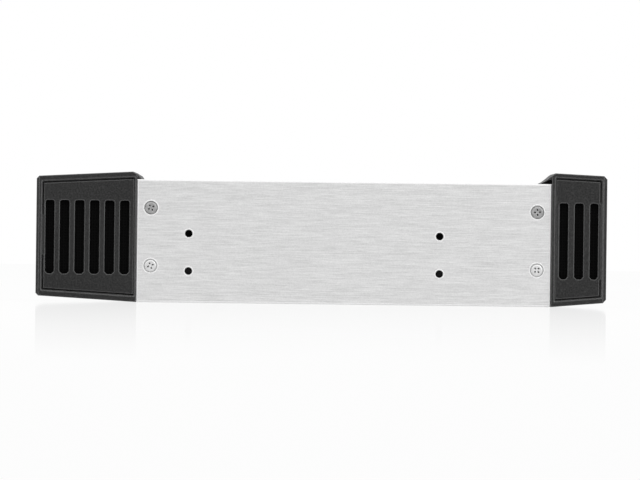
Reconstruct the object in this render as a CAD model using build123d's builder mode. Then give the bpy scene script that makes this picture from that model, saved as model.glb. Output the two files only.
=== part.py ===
from build123d import *
from math import cos, radians, sin, sqrt
import os

os.makedirs("parts", exist_ok=True)

# Hot swap cage for one 3.5-inch drive, made to fill one 5.25-inch bay.
# Millimetres. The front is +X, up is +Z, and the origin is the bottom centre of the whole cage.
# Left and right are as seen by someone who stands at the front, so the left side is at -Y.

# Casing, from the outside in
LENGTH = 180.2
FRONT_X = LENGTH / 2
REAR_X = -LENGTH / 2
BEZEL_W = 148.0
BEZEL_PROUD = 1.0
BODY_W = BEZEL_W - 2 * BEZEL_PROUD
BEZEL_DEPTH = 17.45
REAR_DEPTH = 31.7
PANEL_FRONT_X = FRONT_X - BEZEL_DEPTH
PANEL_REAR_X = REAR_X + REAR_DEPTH
PANEL_H = 38.8
PANEL_T = 2.0
PANEL_EDGE_CUT = 0.3
PANEL_SCREW_SIDES = 18
PANEL_IN = BODY_W / 2 - PANEL_T
PLATE_T = 1.2
COVER_T = 1.2

# Front bezel, whose top and bottom close in a little towards the front
BEZEL_TOP = 42.3
BEZEL_NOSE_TOP = 41.5
BEZEL_NOSE_LOW = 1.5
BEZEL_NOSE_CUT = 1.0
BEZEL_WALL = 2.5
BEZEL_IN_X = FRONT_X - BEZEL_WALL
SHELL_T = 2.4
SIDE_WALL = 3.5

# Rear frame, which tapers to the back so that the cage finds its way into the bay
REAR_TOP_IN = 41.25
REAR_TOP = 39.5
REAR_LOW = 1.75
REAR_WALL = 2.0
REAR_IN_X = REAR_X + REAR_WALL
REAR_EDGE_CUT = 0.8

# Slotted vent panels let into the sides of both caps
VENT_SINK = 0.5
VENT_T = 1.8
VENT_GAP = 0.5
VENT_FIT = 0.1
VENT_BEVEL = 0.3
VENT_EDGE = 0.5
LEDGE_CLEAR = 0.6
SCREEN_T = 0.6

REAR_RIM_LOW = 2.0
REAR_RIM_TOP = 1.85
REAR_VENT_BACK = 1.9
REAR_VENT_FRONT = 0.8
REAR_SLOTS = 6
REAR_SLOT_PITCH = 4.74
REAR_SLOT_W = 3.05
REAR_SLOT_FIRST = PANEL_REAR_X - 3.8
REAR_SLOT_LOW = 8.7
REAR_SLOT_TOP = 32.0
REAR_TONGUE_LOW = 14.7
REAR_TONGUE_TOP = 27.2

FRONT_RIM_LOW = 1.85
FRONT_RIM_TOP = 1.5
FRONT_VENT_BACK = 1.3
FRONT_VENT_FRONT = 1.7
FRONT_SLOTS = 3
FRONT_SLOT_PITCH = 4.87
FRONT_SLOT_W = 2.86
FRONT_SLOT_FIRST = PANEL_FRONT_X + 3.8
FRONT_SLOT_LOW = 8.8
FRONT_SLOT_TOP = 32.85
SLOT_R = 0.8

# Lips on top of the caps that slope down over the ends of the top cover. The slope starts on the cap and
# has a knee and a tip, each given by its distance from the cap's end and its height over the cover.
BEZEL_LIP_START = 1.1
BEZEL_LIP_KNEE = (1.8, 1.1)
BEZEL_LIP_TIP = (3.4, 0.25)
BEZEL_LIP_UNDER = (0.9, 1.4)
REAR_LIP_START = 1.3
REAR_LIP_KNEE = (0.45, 1.3)
REAR_LIP_TIP = (1.2, 0.2)
REAR_LIP_UNDER = (0.1, 0.5)
LIP_CLEAR = 0.1
LIP_END_Y = BODY_W / 2 - 1.5
LIP_WEB_Y = BODY_W / 2 - 7.0

# Fixing tabs that reach from the caps behind the side panels, the top cover and the bottom plate
TAB_REACH = 10.0
TAB_ROOT = 2.0
TAB_T = 2.8
SIDE_TAB_T = 3.8
SIDE_TAB_LOW = 6.0
SIDE_TAB_TOP = 34.6
FLAT_TAB_Y = BODY_W / 2 - 29.0

# Holes of the 5.25-inch bay standard in each side panel, for M3 screws
BAY_HOLE_R = 1.25
BAY_HOLE_PITCH = 79.25
BAY_HOLE_REAR_X = PANEL_REAR_X + 16.5
BAY_HOLE_X = (BAY_HOLE_REAR_X, BAY_HOLE_REAR_X + BAY_HOLE_PITCH)
BAY_HOLE_Z = (10.0, 21.84)

# M2.5 countersunk screws of the casing
SCREW_HEAD_R = 2.3
SCREW_R = 1.2
SCREW_HEAD_H = SCREW_HEAD_R - SCREW_R
SCREW_LEN = 5.6
SIDE_SCREW_IN = 4.5
SIDE_SCREW_Z = (11.55, 29.85)
FLAT_SCREW_IN = 6.8
FLAT_SCREW_Y = FLAT_TAB_Y - 6.0
PILOT_R = 1.25
SCREW_FIT = 0.05

# Mouth of the bezel, beside the column that holds the lock
MOUTH_LEFT = -BEZEL_W / 2 + 8.6
MOUTH_RIGHT = BEZEL_W / 2 - 24.6
MOUTH_LOW = 4.6
MOUTH_TOP = 37.9

# Backplane board, whose socket the drive is pushed on to
BOARD_T = 1.6
BOARD_X = REAR_IN_X + 8.15
BOARD_FRONT_X = BOARD_X + BOARD_T
SOCKET_W = 42.0
SOCKET_Z = 11.0
SOCKET_H = 6.4
SOCKET_L = 9.0

# Tray for the drive. The drive is 101.6 wide, 26.1 high and 147 long.
DRIVE_SIDE_ROOM = 6.6
DRIVE_W = MOUTH_RIGHT - MOUTH_LEFT - 2 * DRIVE_SIDE_ROOM
DRIVE_REAR_X = BOARD_FRONT_X + 4.4
DRIVE_HOLE_X = (41.28, 85.73)
DRIVE_HOLE_PITCH_Y = DRIVE_W - 6.35
DRIVE_HOLE_R = 1.8
DRIVE_SINK_R = 3.2
TRAY_Y = (MOUTH_LEFT + MOUTH_RIGHT) / 2
TRAY_FLOOR_Z = 4.6
TRAY_FLOOR_T = 2.0
TRAY_WALL_T = 1.6
TRAY_WALL_TOP = 24.0
TRAY_IN_HALF = DRIVE_W / 2 + 0.4
TRAY_OUT_HALF = TRAY_IN_HALF + TRAY_WALL_T
TRAY_REAR_X = BOARD_FRONT_X + SOCKET_L + 0.9
TRAY_FLANGE_X = FRONT_X - 15.15
RUNNER_W = 2.6
RUNNER_LOW = 9.0
RUNNER_TOP = 12.0
RUNNER_STOP = 4.0
SLIDE_GAP = 0.4
FLOOR_SLOTS = 3
FLOOR_RIB = 12.0
FLOOR_SLOT_SIDE = 21.2
FLANGE_SLOTS = 4
FLANGE_RIB = 5.0
FLANGE_SLOT_Z = 15.2
FLANGE_SLOT_H = 5.6

# Guide rails that carry the tray's runners
RAIL_REAR_X = PANEL_REAR_X + TAB_REACH + 1.4
RAIL_FRONT_X = PANEL_FRONT_X - TAB_REACH - 1.0
RAIL_W = 5.6
RAIL_TOP = 15.0
RAIL_SCREW_X = (RAIL_REAR_X + 11.0, RAIL_FRONT_X - 11.5)

# Tray front and the lever in it
DOOR_GAP = 0.5
DOOR_T = 2.4
DOOR_SIDE_T = 2.7
DOOR_EDGE_CUT = 0.5
DOOR_LEFT = MOUTH_LEFT + DOOR_GAP
DOOR_RIGHT = MOUTH_RIGHT - DOOR_GAP
DOOR_LOW = MOUTH_LOW + DOOR_GAP
DOOR_TOP = MOUTH_TOP - DOOR_GAP
POCKET_RIGHT = MOUTH_RIGHT - 25.0
POCKET_X = FRONT_X - 4.75
POCKET_BACK_T = 2.2
POCKET_SLOTS = 3
POCKET_RIB = 3.3
POCKET_SLOT_Z = 22.0
POCKET_SLOT_H = 19.0
DOOR_SCREWS = 4
DOOR_SCREW_Z = 9.6
DOOR_SCREW_BOSS_R = 2.4
HINGE_X = FRONT_X - 3.55
HINGE_Y = MOUTH_LEFT + 6.9
HINGE_R = 3.4
HINGE_CLEAR = 0.4
HINGE_END_Y = HINGE_Y + 4.5
PIN_R = 1.5
PIN_FIT = 0.08
LEVER_GAP = 0.4
LEVER_T = 4.2
LEVER_SKIN = 2.2
LEVER_RIB = 2.0
LEVER_SLOTS = 13
LEVER_SLOT_W = 3.0
LEVER_SLOT_H = 15.0
LEVER_SLOT_CUT = 0.6
LEVER_SLOT_FIRST = HINGE_Y + 12.5
LEVER_SLOT_PITCH = (POCKET_RIGHT - 12.8 - LEVER_SLOT_FIRST) / (LEVER_SLOTS - 1)
TOE_LEN = 2.7
TOE_LOW = 18.0
TOE_TOP = 24.0
DOOR_FACE_IN = 0.15

# Release button beside the lever
RELEASE_Y = MOUTH_RIGHT - 14.4
RELEASE_W = 10.0
RELEASE_Z = 21.0
RELEASE_H = 14.0
RELEASE_GAP = 0.3
RELEASE_COLLAR = 1.5
RELEASE_BACK_X = BEZEL_IN_X - 3.65
SPRING_T = 0.4
SPRING_LOW = 13.0
SPRING_W = 6.0

# Lock, power button and lamps in the column at the right of the tray
COLUMN_Y = MOUTH_RIGHT + 12.1
COLUMN_WALL_T = 1.6
COLUMN_WALL_IN = 0.3
COLUMN_WALL_BACK = 1.5
LOCK_Z = 27.0
LOCK_R = 4.85
LOCK_FIT = 0.08
LOCK_BODY_R = 6.0
LOCK_FLANGE_R = 7.4
LOCK_FLANGE_T = 1.1
LOCK_LEN = 12.0
LOCK_TAIL_R = 2.1
LOCK_BACK_T = 2.0
NUT_R = 8.0
NUT_T = 2.4
KEYWAY_W = 1.2
KEYWAY_H = 5.6
KEYWAY_DEEP = 6.0
CAM_R = 3.6
CAM_W = 4.4
CAM_REACH = 8.6
CAM_T = 1.4
BUTTON_Z = 10.0
BUTTON_R = 3.1
BUTTON_GAP = 0.3
LAMP_Z = 16.8
LAMP_SPREAD = 3.5
LAMP_R = 1.1
LAMP_T = 1.0
SWITCH_T = 2.6
SWITCH_HALF = 3.0
PLUNGER_R = 1.7
PUSH_ROOM = 0.9
FRONT_BOARD_X = BEZEL_IN_X - 10.65
FRONT_BOARD_T = 1.2
FRONT_BOARD_LOW = 4.6
FRONT_BOARD_TOP = 19.4
FRONT_SCREW_Z = 8.0
FRONT_SCREW_OUT = 6.4
FRONT_SCREW_R = 0.95
FRONT_BOSS_R = 2.2

# Backplane board with the drive's socket on its front and the plugs on its back
FAN_SIZE = 30.0
FAN_Y = BODY_W / 2 - 33.0
BOARD_LEFT = -BODY_W / 2 + 11.0
BOARD_RIGHT = FAN_Y - FAN_SIZE / 2 - 3.0
BOARD_LOW = 5.0
BOARD_TOP = 36.0
BOARD_SCREW_Y = (BOARD_LEFT + 4.0, BOARD_RIGHT - 4.0)
BOARD_SCREW_Z = (9.6, 31.4)
BOSS_R = 2.8
BOARD_SLOTS = 4
BOARD_SLOT_PITCH = 14.0
BOARD_SLOT_Z = 31.0
BOARD_SLOT_W = 10.0
BOARD_SLOT_H = 4.0
SOCKET_Y = TRAY_Y - 19.0
SOCKET_DEEP = 6.5
SOCKET_SLOT_H = 2.4
CONTACT_PITCH = 1.27
CONTACT_W = 0.6
CONTACT_T = 0.3
DATA_Y = BOARD_LEFT + 16.0
DATA_W = 15.0
DATA_H = 6.4
POWER_Y = DATA_Y + 30.0
POWER_W = 22.0
POWER_H = 10.6
PLUG_Z = 21.0
PLUG_END_X = REAR_X + 0.4
PLUG_BACK_T = 2.0
PLUG_ROOM = 0.5
PLUG_WALL = 1.1
TONGUE_HALF = 5.0
TONGUE_T = 1.2
PIN_PITCH = 5.08
PIN_SIZE_R = 1.05
CAPACITOR_Y = DATA_Y + 13.0
CAPACITOR_Z = (13.0, 28.0)
CAPACITOR_R = 3.1
CAPACITOR_H = 5.8
CHIP_SIZE = 10.0
CHIP_T = 1.2
HEADER_T = 2.4
FAN_PLUG_W = 7.5
FAN_PLUG_H = 4.0
FAN_PLUG_L = 5.0
FAN_PLUG_IN = 12.75

# Fan of 30 mm at the back
FAN_Z = 20.7
FAN_T = 7.5
FAN_BORE_R = 13.7
FAN_HOLE_PITCH = 24.0
FAN_FRONT_X = REAR_IN_X + FAN_T
FAN_HUB_R = 6.6
FAN_TIP_R = 13.2
FAN_BLADES = 7
FAN_PLATE_T = 1.3
FAN_CORNER = 1.0
FAN_STRUT_W = 1.8
FAN_SHAFT_R = 0.75
FAN_SCREW_HEAD_R = 2.2
BLADE_T = 0.8
BLADE_SECTIONS = ((FAN_HUB_R - 0.6, 5.0, 42), (FAN_TIP_R, 7.6, 30))
GUARD_SLOTS = 6
GUARD_PITCH = 4.3
GUARD_SLOT_W = 3.1


def block(x0, x1, y0, y1, z0, z1, mode=Mode.ADD):
    """A box between two corners, joined to or cut from the part that is open."""
    with Locations(((x0 + x1) / 2, (y0 + y1) / 2, (z0 + z1) / 2)):
        Box(x1 - x0, y1 - y0, z1 - z0, mode=mode)


def rod(x0, x1, y, z, radius, mode=Mode.ADD):
    """A round bar or hole along X."""
    with Locations(((x0 + x1) / 2, y, z)):
        Cylinder(radius, x1 - x0, rotation=(0, 90, 0), mode=mode)


def post(x, y, z0, z1, radius, mode=Mode.ADD):
    """A round bar or hole along Z."""
    with Locations((x, y, (z0 + z1) / 2)):
        Cylinder(radius, z1 - z0, mode=mode)


def finish(piece, name):
    """Label a finished piece and write it."""
    piece.part.label = name
    export_step(piece.part, f"parts/{name}.step")


def flip_to(side):
    """Pieces of the two sides are drawn on the left, and turned over for the right."""
    if side == "right":
        mirror(about=Plane.XZ, mode=Mode.REPLACE)


def screw(head_r, head_h, shank_r, length, flat_head=True, sides=12):
    """A screw with its top at the origin, pointing down. It has few flats, because many are used."""
    with BuildPart() as blank:
        with BuildSketch(Plane.XY):
            RegularPolygon(head_r, sides)
        if flat_head:
            with BuildSketch(Plane.XY.offset(-head_h)):
                RegularPolygon(shank_r, sides)
            loft(ruled=True)
        else:
            extrude(amount=-head_h)
            chamfer(blank.edges().group_by(Axis.Z)[-1], head_h * 0.3)
        with BuildSketch(Plane.XY.offset(-head_h)):
            RegularPolygon(shank_r, sides)
        extrude(amount=head_h - length)
    return blank.part


def screw_room(depth, sides=12):
    """The room that a casing screw takes in the plate it holds: countersink and clearance hole."""
    head_r = SCREW_HEAD_R + 2 * SCREW_FIT
    return screw(head_r, SCREW_HEAD_H + SCREW_FIT, SCREW_R + SCREW_FIT, depth, sides=sides)


def prism(location, length, radius, mode=Mode.SUBTRACT):
    """A round boss or pilot hole with few flats, from a place along its own Z."""
    with BuildPart() as bar:
        with BuildSketch(Plane.XY):
            RegularPolygon(radius, 12)
        extrude(amount=length)
    with Locations(location):
        add(bar.part, mode=mode)


def toward(x, y, z, direction):
    """A place whose own Z points along a direction, given as (1, 0, 0) and so on."""
    return Plane((x, y, z), z_dir=direction).location


def screw_group(name, blank, seats):
    """Equal screws, each turned and placed by the plane of its seat."""
    with BuildPart() as screws:
        for seat in seats:
            with Locations(seat.location):
                add(blank)
    finish(screws, name)


def line_z(p0, p1, x):
    """Height at x of the straight line through two points of the side view."""
    return p0[1] + (p1[1] - p0[1]) * (x - p0[0]) / (p1[0] - p0[0])


REAR_BOTTOM_LINE = ((REAR_X, REAR_LOW), (PANEL_REAR_X, 0.0))
REAR_TOP_LINE = ((REAR_X, REAR_TOP), (PANEL_REAR_X, REAR_TOP_IN))
BEZEL_BOTTOM_LINE = ((PANEL_FRONT_X, 0.0), (FRONT_X, BEZEL_NOSE_LOW))
BEZEL_TOP_LINE = ((PANEL_FRONT_X, BEZEL_TOP), (FRONT_X, BEZEL_NOSE_TOP))


def sloped_face(x0, x1, low_line, top_line, above, below):
    """A four-sided face in the side view that starts above the cap's bottom and ends below its top."""
    Polygon(
        (x0, line_z(*low_line, x0) + above),
        (x1, line_z(*low_line, x1) + above),
        (x1, line_z(*top_line, x1) - below),
        (x0, line_z(*top_line, x0) - below),
        align=None,
    )


def vent_seats(half_width, x0, x1, lines, rims, window):
    """The room that is cut from both sides of a cap: a bevelled seat for a vent panel, open behind it."""
    low_rim, top_rim = rims
    with BuildPart() as room:
        with BuildSketch(Plane.XZ.offset(half_width)):
            sloped_face(x0, x1, *lines, low_rim, top_rim)
        extrude(amount=-VENT_SINK - VENT_T)
        with BuildSketch(Plane.XZ.offset(half_width)):
            sloped_face(x0 - VENT_BEVEL, x1 + VENT_BEVEL, *lines, low_rim - VENT_BEVEL, top_rim - VENT_BEVEL)
        extrude(amount=-VENT_BEVEL, taper=45)
        block(window[0], window[1], -half_width, SIDE_WALL - half_width, window[2], window[3])
        mirror(about=Plane.XZ)
    return room.part


def slot_spans(first, pitch, width, count, direction, near, far):
    """Left and right edge of each slot, kept clear of the panel's own edges."""
    spans = []
    for i in range(count):
        centre = first + direction * pitch * i
        spans.append((max(centre - width / 2, near), min(centre + width / 2, far)))
    return spans


def vent_panel(name, side, face_y, x0, x1, lines, rims, spans, slot_low, slot_top, tongue):
    """One slotted panel, sunk below the rim of its cap, with a groove left open around it."""
    with BuildPart() as vent:
        face = Plane.XZ.offset(face_y - VENT_SINK)
        with BuildSketch(face):
            sloped_face(x0, x1, *lines, rims[0] + VENT_GAP, rims[1] + VENT_GAP)
        extrude(amount=-VENT_T)
        with BuildSketch(face):
            with Locations(((tongue[0] + tongue[1]) / 2, (tongue[2] + tongue[3]) / 2)):
                Rectangle(tongue[1] - tongue[0], tongue[3] - tongue[2])
        extrude(amount=-VENT_T)
        with BuildSketch(face) as slots:
            for left, right in spans:
                with Locations(((left + right) / 2, (slot_low + slot_top) / 2)):
                    Rectangle(right - left, slot_top - slot_low)
            chamfer(slots.vertices().group_by(Axis.Y)[0], SLOT_R)
            fillet(slots.vertices().group_by(Axis.Y)[-1], SLOT_R)
        extrude(amount=-VENT_T, mode=Mode.SUBTRACT)
        flip_to(side)
    finish(vent, name)


def dust_screen(name, side, face_y, window):
    """Black dust screen that fills the opening behind a slotted panel."""
    outer = VENT_SINK + VENT_T - face_y
    with BuildPart() as screen:
        block(window[0], window[1], outer, outer + SCREEN_T, window[2], window[3])
        flip_to(side)
    finish(screen, name)


def over_cover(x_cap, outward, point):
    """A corner of a lip, from its distance to the cap's end and its height over the cover."""
    return (x_cap + outward * point[0], PANEL_H + point[1])


def lip_slope(x_cap, outward, top_line, start, knee, tip):
    """The corners of the slope that leads from a cap's top edge down over the cover."""
    x_start = x_cap - outward * start
    top = (x_start, line_z(*top_line, x_start))
    return [top, over_cover(x_cap, outward, knee), over_cover(x_cap, outward, tip)]


def cap_side_view(x_end, x_cap, low_line, top_line, slope):
    """The outline of a cap, whose top corner is cut along the slope of its lip."""
    Polygon(
        (x_end, line_z(*low_line, x_end)),
        (x_cap, line_z(*low_line, x_cap)),
        (x_cap, line_z(slope[0], slope[1], x_cap)),
        slope[0],
        (x_end, line_z(*top_line, x_end)),
        align=None,
    )


def sloped_lip(slope, under):
    """A thin lip along the slope, hollow below, with a web that fills its middle down to the cover."""
    with BuildPart() as lip:
        with BuildSketch(Plane.XZ):
            Polygon(*slope, (slope[-1][0], PANEL_H + LIP_CLEAR), under, (slope[0][0], under[1]), align=None)
        extrude(amount=LIP_END_Y, both=True)
        with BuildSketch(Plane.XZ):
            Polygon(*slope, (slope[-1][0], PANEL_H), (slope[0][0], PANEL_H), align=None)
        extrude(amount=LIP_WEB_Y, both=True)
    return lip.part


def cap_tabs(x_cap, toward, top_z):
    """Tabs behind the panels: two at the sides, one under the top cover and one over the bottom plate."""
    x_root = x_cap - toward * TAB_ROOT
    x_end = x_cap + toward * TAB_REACH
    low, high = sorted((x_root, x_end))
    for sign in (1, -1):
        y0, y1 = sorted((sign * PANEL_IN, sign * (PANEL_IN - SIDE_TAB_T)))
        block(low, high, y0, y1, SIDE_TAB_LOW, SIDE_TAB_TOP)
    block(low, high, -FLAT_TAB_Y, FLAT_TAB_Y, PLATE_T, PLATE_T + TAB_T)
    under_cover = PANEL_H - COVER_T
    block(low, high, -FLAT_TAB_Y, FLAT_TAB_Y, under_cover - TAB_T, under_cover)
    root_low, root_high = sorted((x_root, x_cap))
    block(root_low, root_high, -FLAT_TAB_Y, FLAT_TAB_Y, under_cover - TAB_T, top_z - SHELL_T / 2)


def side_screw_points(x):
    return [(x, z) for z in SIDE_SCREW_Z]


def tab_pilots(x_side, x_flat):
    """Holes in a cap's tabs for the screws of the side panels, the cover and the bottom plate."""
    for z in SIDE_SCREW_Z:
        prism(toward(x_side, -PANEL_IN, z, (0, 1, 0)), 2 * PANEL_IN, PILOT_R)
    for y in (-FLAT_SCREW_Y, FLAT_SCREW_Y):
        prism(toward(x_flat, y, PLATE_T, (0, 0, 1)), PANEL_H - COVER_T - PLATE_T, PILOT_R)


SCREW_X_REAR = PANEL_REAR_X + SIDE_SCREW_IN
SCREW_X_FRONT = PANEL_FRONT_X - SIDE_SCREW_IN
FLAT_X_REAR = PANEL_REAR_X + FLAT_SCREW_IN
FLAT_X_FRONT = PANEL_FRONT_X - FLAT_SCREW_IN

REAR_RIMS = (REAR_RIM_LOW, REAR_RIM_TOP)
FRONT_RIMS = (FRONT_RIM_LOW, FRONT_RIM_TOP)
REAR_VENT_X0 = REAR_X + REAR_VENT_BACK
REAR_VENT_X1 = PANEL_REAR_X - REAR_VENT_FRONT
FRONT_VENT_X0 = PANEL_FRONT_X + FRONT_VENT_BACK
FRONT_VENT_X1 = FRONT_X - FRONT_VENT_FRONT

# Openings in the caps' side walls behind the slotted panels: x from, x to, z from, z to
REAR_WINDOW = (REAR_VENT_X0 + LEDGE_CLEAR, REAR_VENT_X1 - LEDGE_CLEAR * 2,
               REAR_SLOT_LOW - LEDGE_CLEAR, REAR_SLOT_TOP + LEDGE_CLEAR)
FRONT_WINDOW = (FRONT_VENT_X0 + LEDGE_CLEAR * 2, FRONT_VENT_X1 - LEDGE_CLEAR,
                FRONT_SLOT_LOW - LEDGE_CLEAR, FRONT_SLOT_TOP + LEDGE_CLEAR)


def make_rear_frame():
    """Tapered rear cap with the fan guard, the openings for the plugs and the board's bosses."""
    slope = lip_slope(PANEL_REAR_X, 1, REAR_TOP_LINE, REAR_LIP_START, REAR_LIP_KNEE, REAR_LIP_TIP)
    lip = sloped_lip(slope, over_cover(PANEL_REAR_X, 1, REAR_LIP_UNDER))
    seats = vent_seats(BODY_W / 2, REAR_VENT_X0, REAR_VENT_X1, (REAR_BOTTOM_LINE, REAR_TOP_LINE), REAR_RIMS,
                       REAR_WINDOW)
    guard = fan_guard()
    with BuildPart() as frame:
        with BuildSketch(Plane.XZ):
            cap_side_view(REAR_X, PANEL_REAR_X, REAR_BOTTOM_LINE, REAR_TOP_LINE, slope)
        extrude(amount=BODY_W / 2, both=True)
        chamfer(frame.faces().sort_by(Axis.X)[0].edges(), REAR_EDGE_CUT)
        with BuildSketch(Plane.XZ):
            sloped_face(REAR_IN_X, PANEL_REAR_X, REAR_BOTTOM_LINE, REAR_TOP_LINE, SHELL_T, SHELL_T)
        extrude(amount=BODY_W / 2 - SIDE_WALL, both=True, mode=Mode.SUBTRACT)
        cap_tabs(PANEL_REAR_X, 1, REAR_TOP_IN)
        add(lip)
        add(seats, mode=Mode.SUBTRACT)
        tab_pilots(SCREW_X_REAR, FLAT_X_REAR)
        for y in BOARD_SCREW_Y:
            for z in BOARD_SCREW_Z:
                prism(toward(REAR_IN_X, y, z, (1, 0, 0)), BOARD_X - REAR_IN_X, BOSS_R, Mode.ADD)
                prism(toward(REAR_IN_X, y, z, (1, 0, 0)), BOARD_X - REAR_IN_X, PILOT_R)
        for y, width, height in ((DATA_Y, DATA_W, DATA_H), (POWER_Y, POWER_W, POWER_H)):
            with BuildSketch(Plane.YZ.offset(REAR_X)):
                with Locations((y, PLUG_Z)):
                    Rectangle(width + 2 * PLUG_ROOM, height + 2 * PLUG_ROOM)
            extrude(amount=REAR_WALL, mode=Mode.SUBTRACT)
        add(guard, mode=Mode.SUBTRACT)
    finish(frame, "rear_frame")


def fan_guard():
    """The room that is cut for the fan: upright slots whose ends follow a circle, and four screw holes."""
    with BuildPart() as room:
        with BuildSketch(Plane.YZ.offset(REAR_X)):
            with Locations((FAN_Y, FAN_Z)):
                for i in range(GUARD_SLOTS):
                    out = (i - (GUARD_SLOTS - 1) / 2) * GUARD_PITCH
                    with Locations((out, 0)):
                        Rectangle(GUARD_SLOT_W, 2 * sqrt(FAN_TIP_R ** 2 - out ** 2))
                with GridLocations(FAN_HOLE_PITCH, FAN_HOLE_PITCH, 2, 2):
                    RegularPolygon(PILOT_R, 12)
        extrude(amount=REAR_WALL)
    return room.part


def make_front_bezel():
    """Front cap with the tray's mouth, the column for lock, button and lamps, and its own fixing tabs."""
    nose = BEZEL_NOSE_CUT
    slope = lip_slope(PANEL_FRONT_X, -1, BEZEL_TOP_LINE, BEZEL_LIP_START, BEZEL_LIP_KNEE, BEZEL_LIP_TIP)
    lip = sloped_lip(slope, over_cover(PANEL_FRONT_X, -1, BEZEL_LIP_UNDER))
    seats = vent_seats(BEZEL_W / 2, FRONT_VENT_X0, FRONT_VENT_X1, (BEZEL_BOTTOM_LINE, BEZEL_TOP_LINE),
                       FRONT_RIMS, FRONT_WINDOW)
    with BuildPart() as bezel:
        with BuildSketch(Plane.XZ) as side_view:
            cap_side_view(FRONT_X, PANEL_FRONT_X, BEZEL_BOTTOM_LINE, BEZEL_TOP_LINE, slope)
            chamfer(side_view.vertices().group_by(Axis.X)[-1], nose)
        extrude(amount=BEZEL_W / 2, both=True)
        chamfer(bezel.edges().filter_by(Axis.Z).sort_by(Axis.X)[-2:], nose)
        with BuildSketch(Plane.XZ):
            sloped_face(PANEL_FRONT_X, BEZEL_IN_X, BEZEL_BOTTOM_LINE, BEZEL_TOP_LINE, SHELL_T, SHELL_T)
        extrude(amount=BEZEL_W / 2 - SIDE_WALL, both=True, mode=Mode.SUBTRACT)
        cap_tabs(PANEL_FRONT_X, -1, BEZEL_TOP)
        add(lip)
        add(seats, mode=Mode.SUBTRACT)
        tab_pilots(SCREW_X_FRONT, FLAT_X_FRONT)
        block(PANEL_FRONT_X + COLUMN_WALL_BACK, BEZEL_IN_X, MOUTH_RIGHT + COLUMN_WALL_IN,
              MOUTH_RIGHT + COLUMN_WALL_IN + COLUMN_WALL_T, SHELL_T * 0.8, BEZEL_TOP - SHELL_T)
        for y in front_board_screw_y():
            foot = toward(FRONT_BOARD_X + FRONT_BOARD_T, y, FRONT_SCREW_Z, (1, 0, 0))
            prism(foot, BEZEL_IN_X - FRONT_BOARD_X - FRONT_BOARD_T, FRONT_BOSS_R, Mode.ADD)
            prism(foot, BEZEL_IN_X - FRONT_BOARD_X - FRONT_BOARD_T, FRONT_SCREW_R + SCREW_FIT)
        block(BEZEL_IN_X, FRONT_X, MOUTH_LEFT, MOUTH_RIGHT, MOUTH_LOW, MOUTH_TOP, Mode.SUBTRACT)
        rod(BEZEL_IN_X, FRONT_X, COLUMN_Y, LOCK_Z, LOCK_BODY_R, Mode.SUBTRACT)
        rod(FRONT_X - LOCK_FLANGE_T - DOOR_FACE_IN, FRONT_X, COLUMN_Y, LOCK_Z, LOCK_FLANGE_R, Mode.SUBTRACT)
        rod(BEZEL_IN_X, FRONT_X, COLUMN_Y, BUTTON_Z, BUTTON_R + BUTTON_GAP, Mode.SUBTRACT)
        for y in lamp_y():
            rod(BEZEL_IN_X, FRONT_X, y, LAMP_Z, LAMP_R, Mode.SUBTRACT)
    finish(bezel, "front_bezel")


def front_board_screw_y():
    return (COLUMN_Y - FRONT_SCREW_OUT, COLUMN_Y + FRONT_SCREW_OUT)


def lamp_y():
    return (COLUMN_Y - LAMP_SPREAD, COLUMN_Y + LAMP_SPREAD)


def make_vents():
    """The four slotted panels."""
    rear_near = REAR_VENT_X0 + VENT_GAP
    rear_far = REAR_VENT_X1 - VENT_FIT
    rear_spans = slot_spans(REAR_SLOT_FIRST, REAR_SLOT_PITCH, REAR_SLOT_W, REAR_SLOTS, -1,
                            rear_near + VENT_EDGE, rear_far - VENT_EDGE)
    rear_tongue = (REAR_VENT_X0, rear_near, REAR_TONGUE_LOW, REAR_TONGUE_TOP)
    front_near = FRONT_VENT_X0 + VENT_FIT
    front_far = FRONT_VENT_X1 - VENT_GAP
    front_spans = slot_spans(FRONT_SLOT_FIRST, FRONT_SLOT_PITCH, FRONT_SLOT_W, FRONT_SLOTS, 1,
                             front_near + VENT_EDGE, front_far - VENT_EDGE)
    front_tongue = (front_far, FRONT_VENT_X1, FRONT_SLOT_LOW, FRONT_SLOT_TOP)
    for side in ("left", "right"):
        vent_panel(f"rear_vent_{side}", side, BODY_W / 2, rear_near, rear_far,
                   (REAR_BOTTOM_LINE, REAR_TOP_LINE), REAR_RIMS, rear_spans, REAR_SLOT_LOW, REAR_SLOT_TOP,
                   rear_tongue)
        vent_panel(f"front_vent_{side}", side, BEZEL_W / 2, front_near, front_far,
                   (BEZEL_BOTTOM_LINE, BEZEL_TOP_LINE), FRONT_RIMS, front_spans, FRONT_SLOT_LOW,
                   FRONT_SLOT_TOP, front_tongue)
        dust_screen(f"rear_screen_{side}", side, BODY_W / 2, REAR_WINDOW)
        dust_screen(f"front_screen_{side}", side, BEZEL_W / 2, FRONT_WINDOW)


def make_side_panel(side):
    """Brushed side panel with the bay's four tapped holes and four countersunk holes at its ends."""
    with BuildPart() as panel:
        block(PANEL_REAR_X, PANEL_FRONT_X, -BODY_W / 2, -PANEL_IN, 0, PANEL_H)
        chamfer(panel.faces().sort_by(Axis.Y)[0].edges(), PANEL_EDGE_CUT)
        with BuildSketch(Plane.XZ.offset(PANEL_IN)):
            with Locations(*[(x, z) for x in BAY_HOLE_X for z in BAY_HOLE_Z]):
                Circle(BAY_HOLE_R)
        extrude(amount=PANEL_T, mode=Mode.SUBTRACT)
        room = screw_room(PANEL_T, PANEL_SCREW_SIDES)
        for x, z in side_screw_points(SCREW_X_REAR) + side_screw_points(SCREW_X_FRONT):
            with Locations(toward(x, -BODY_W / 2, z, (0, -1, 0))):
                add(room, mode=Mode.SUBTRACT)
        flip_to(side)
    finish(panel, f"side_panel_{side}")


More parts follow.
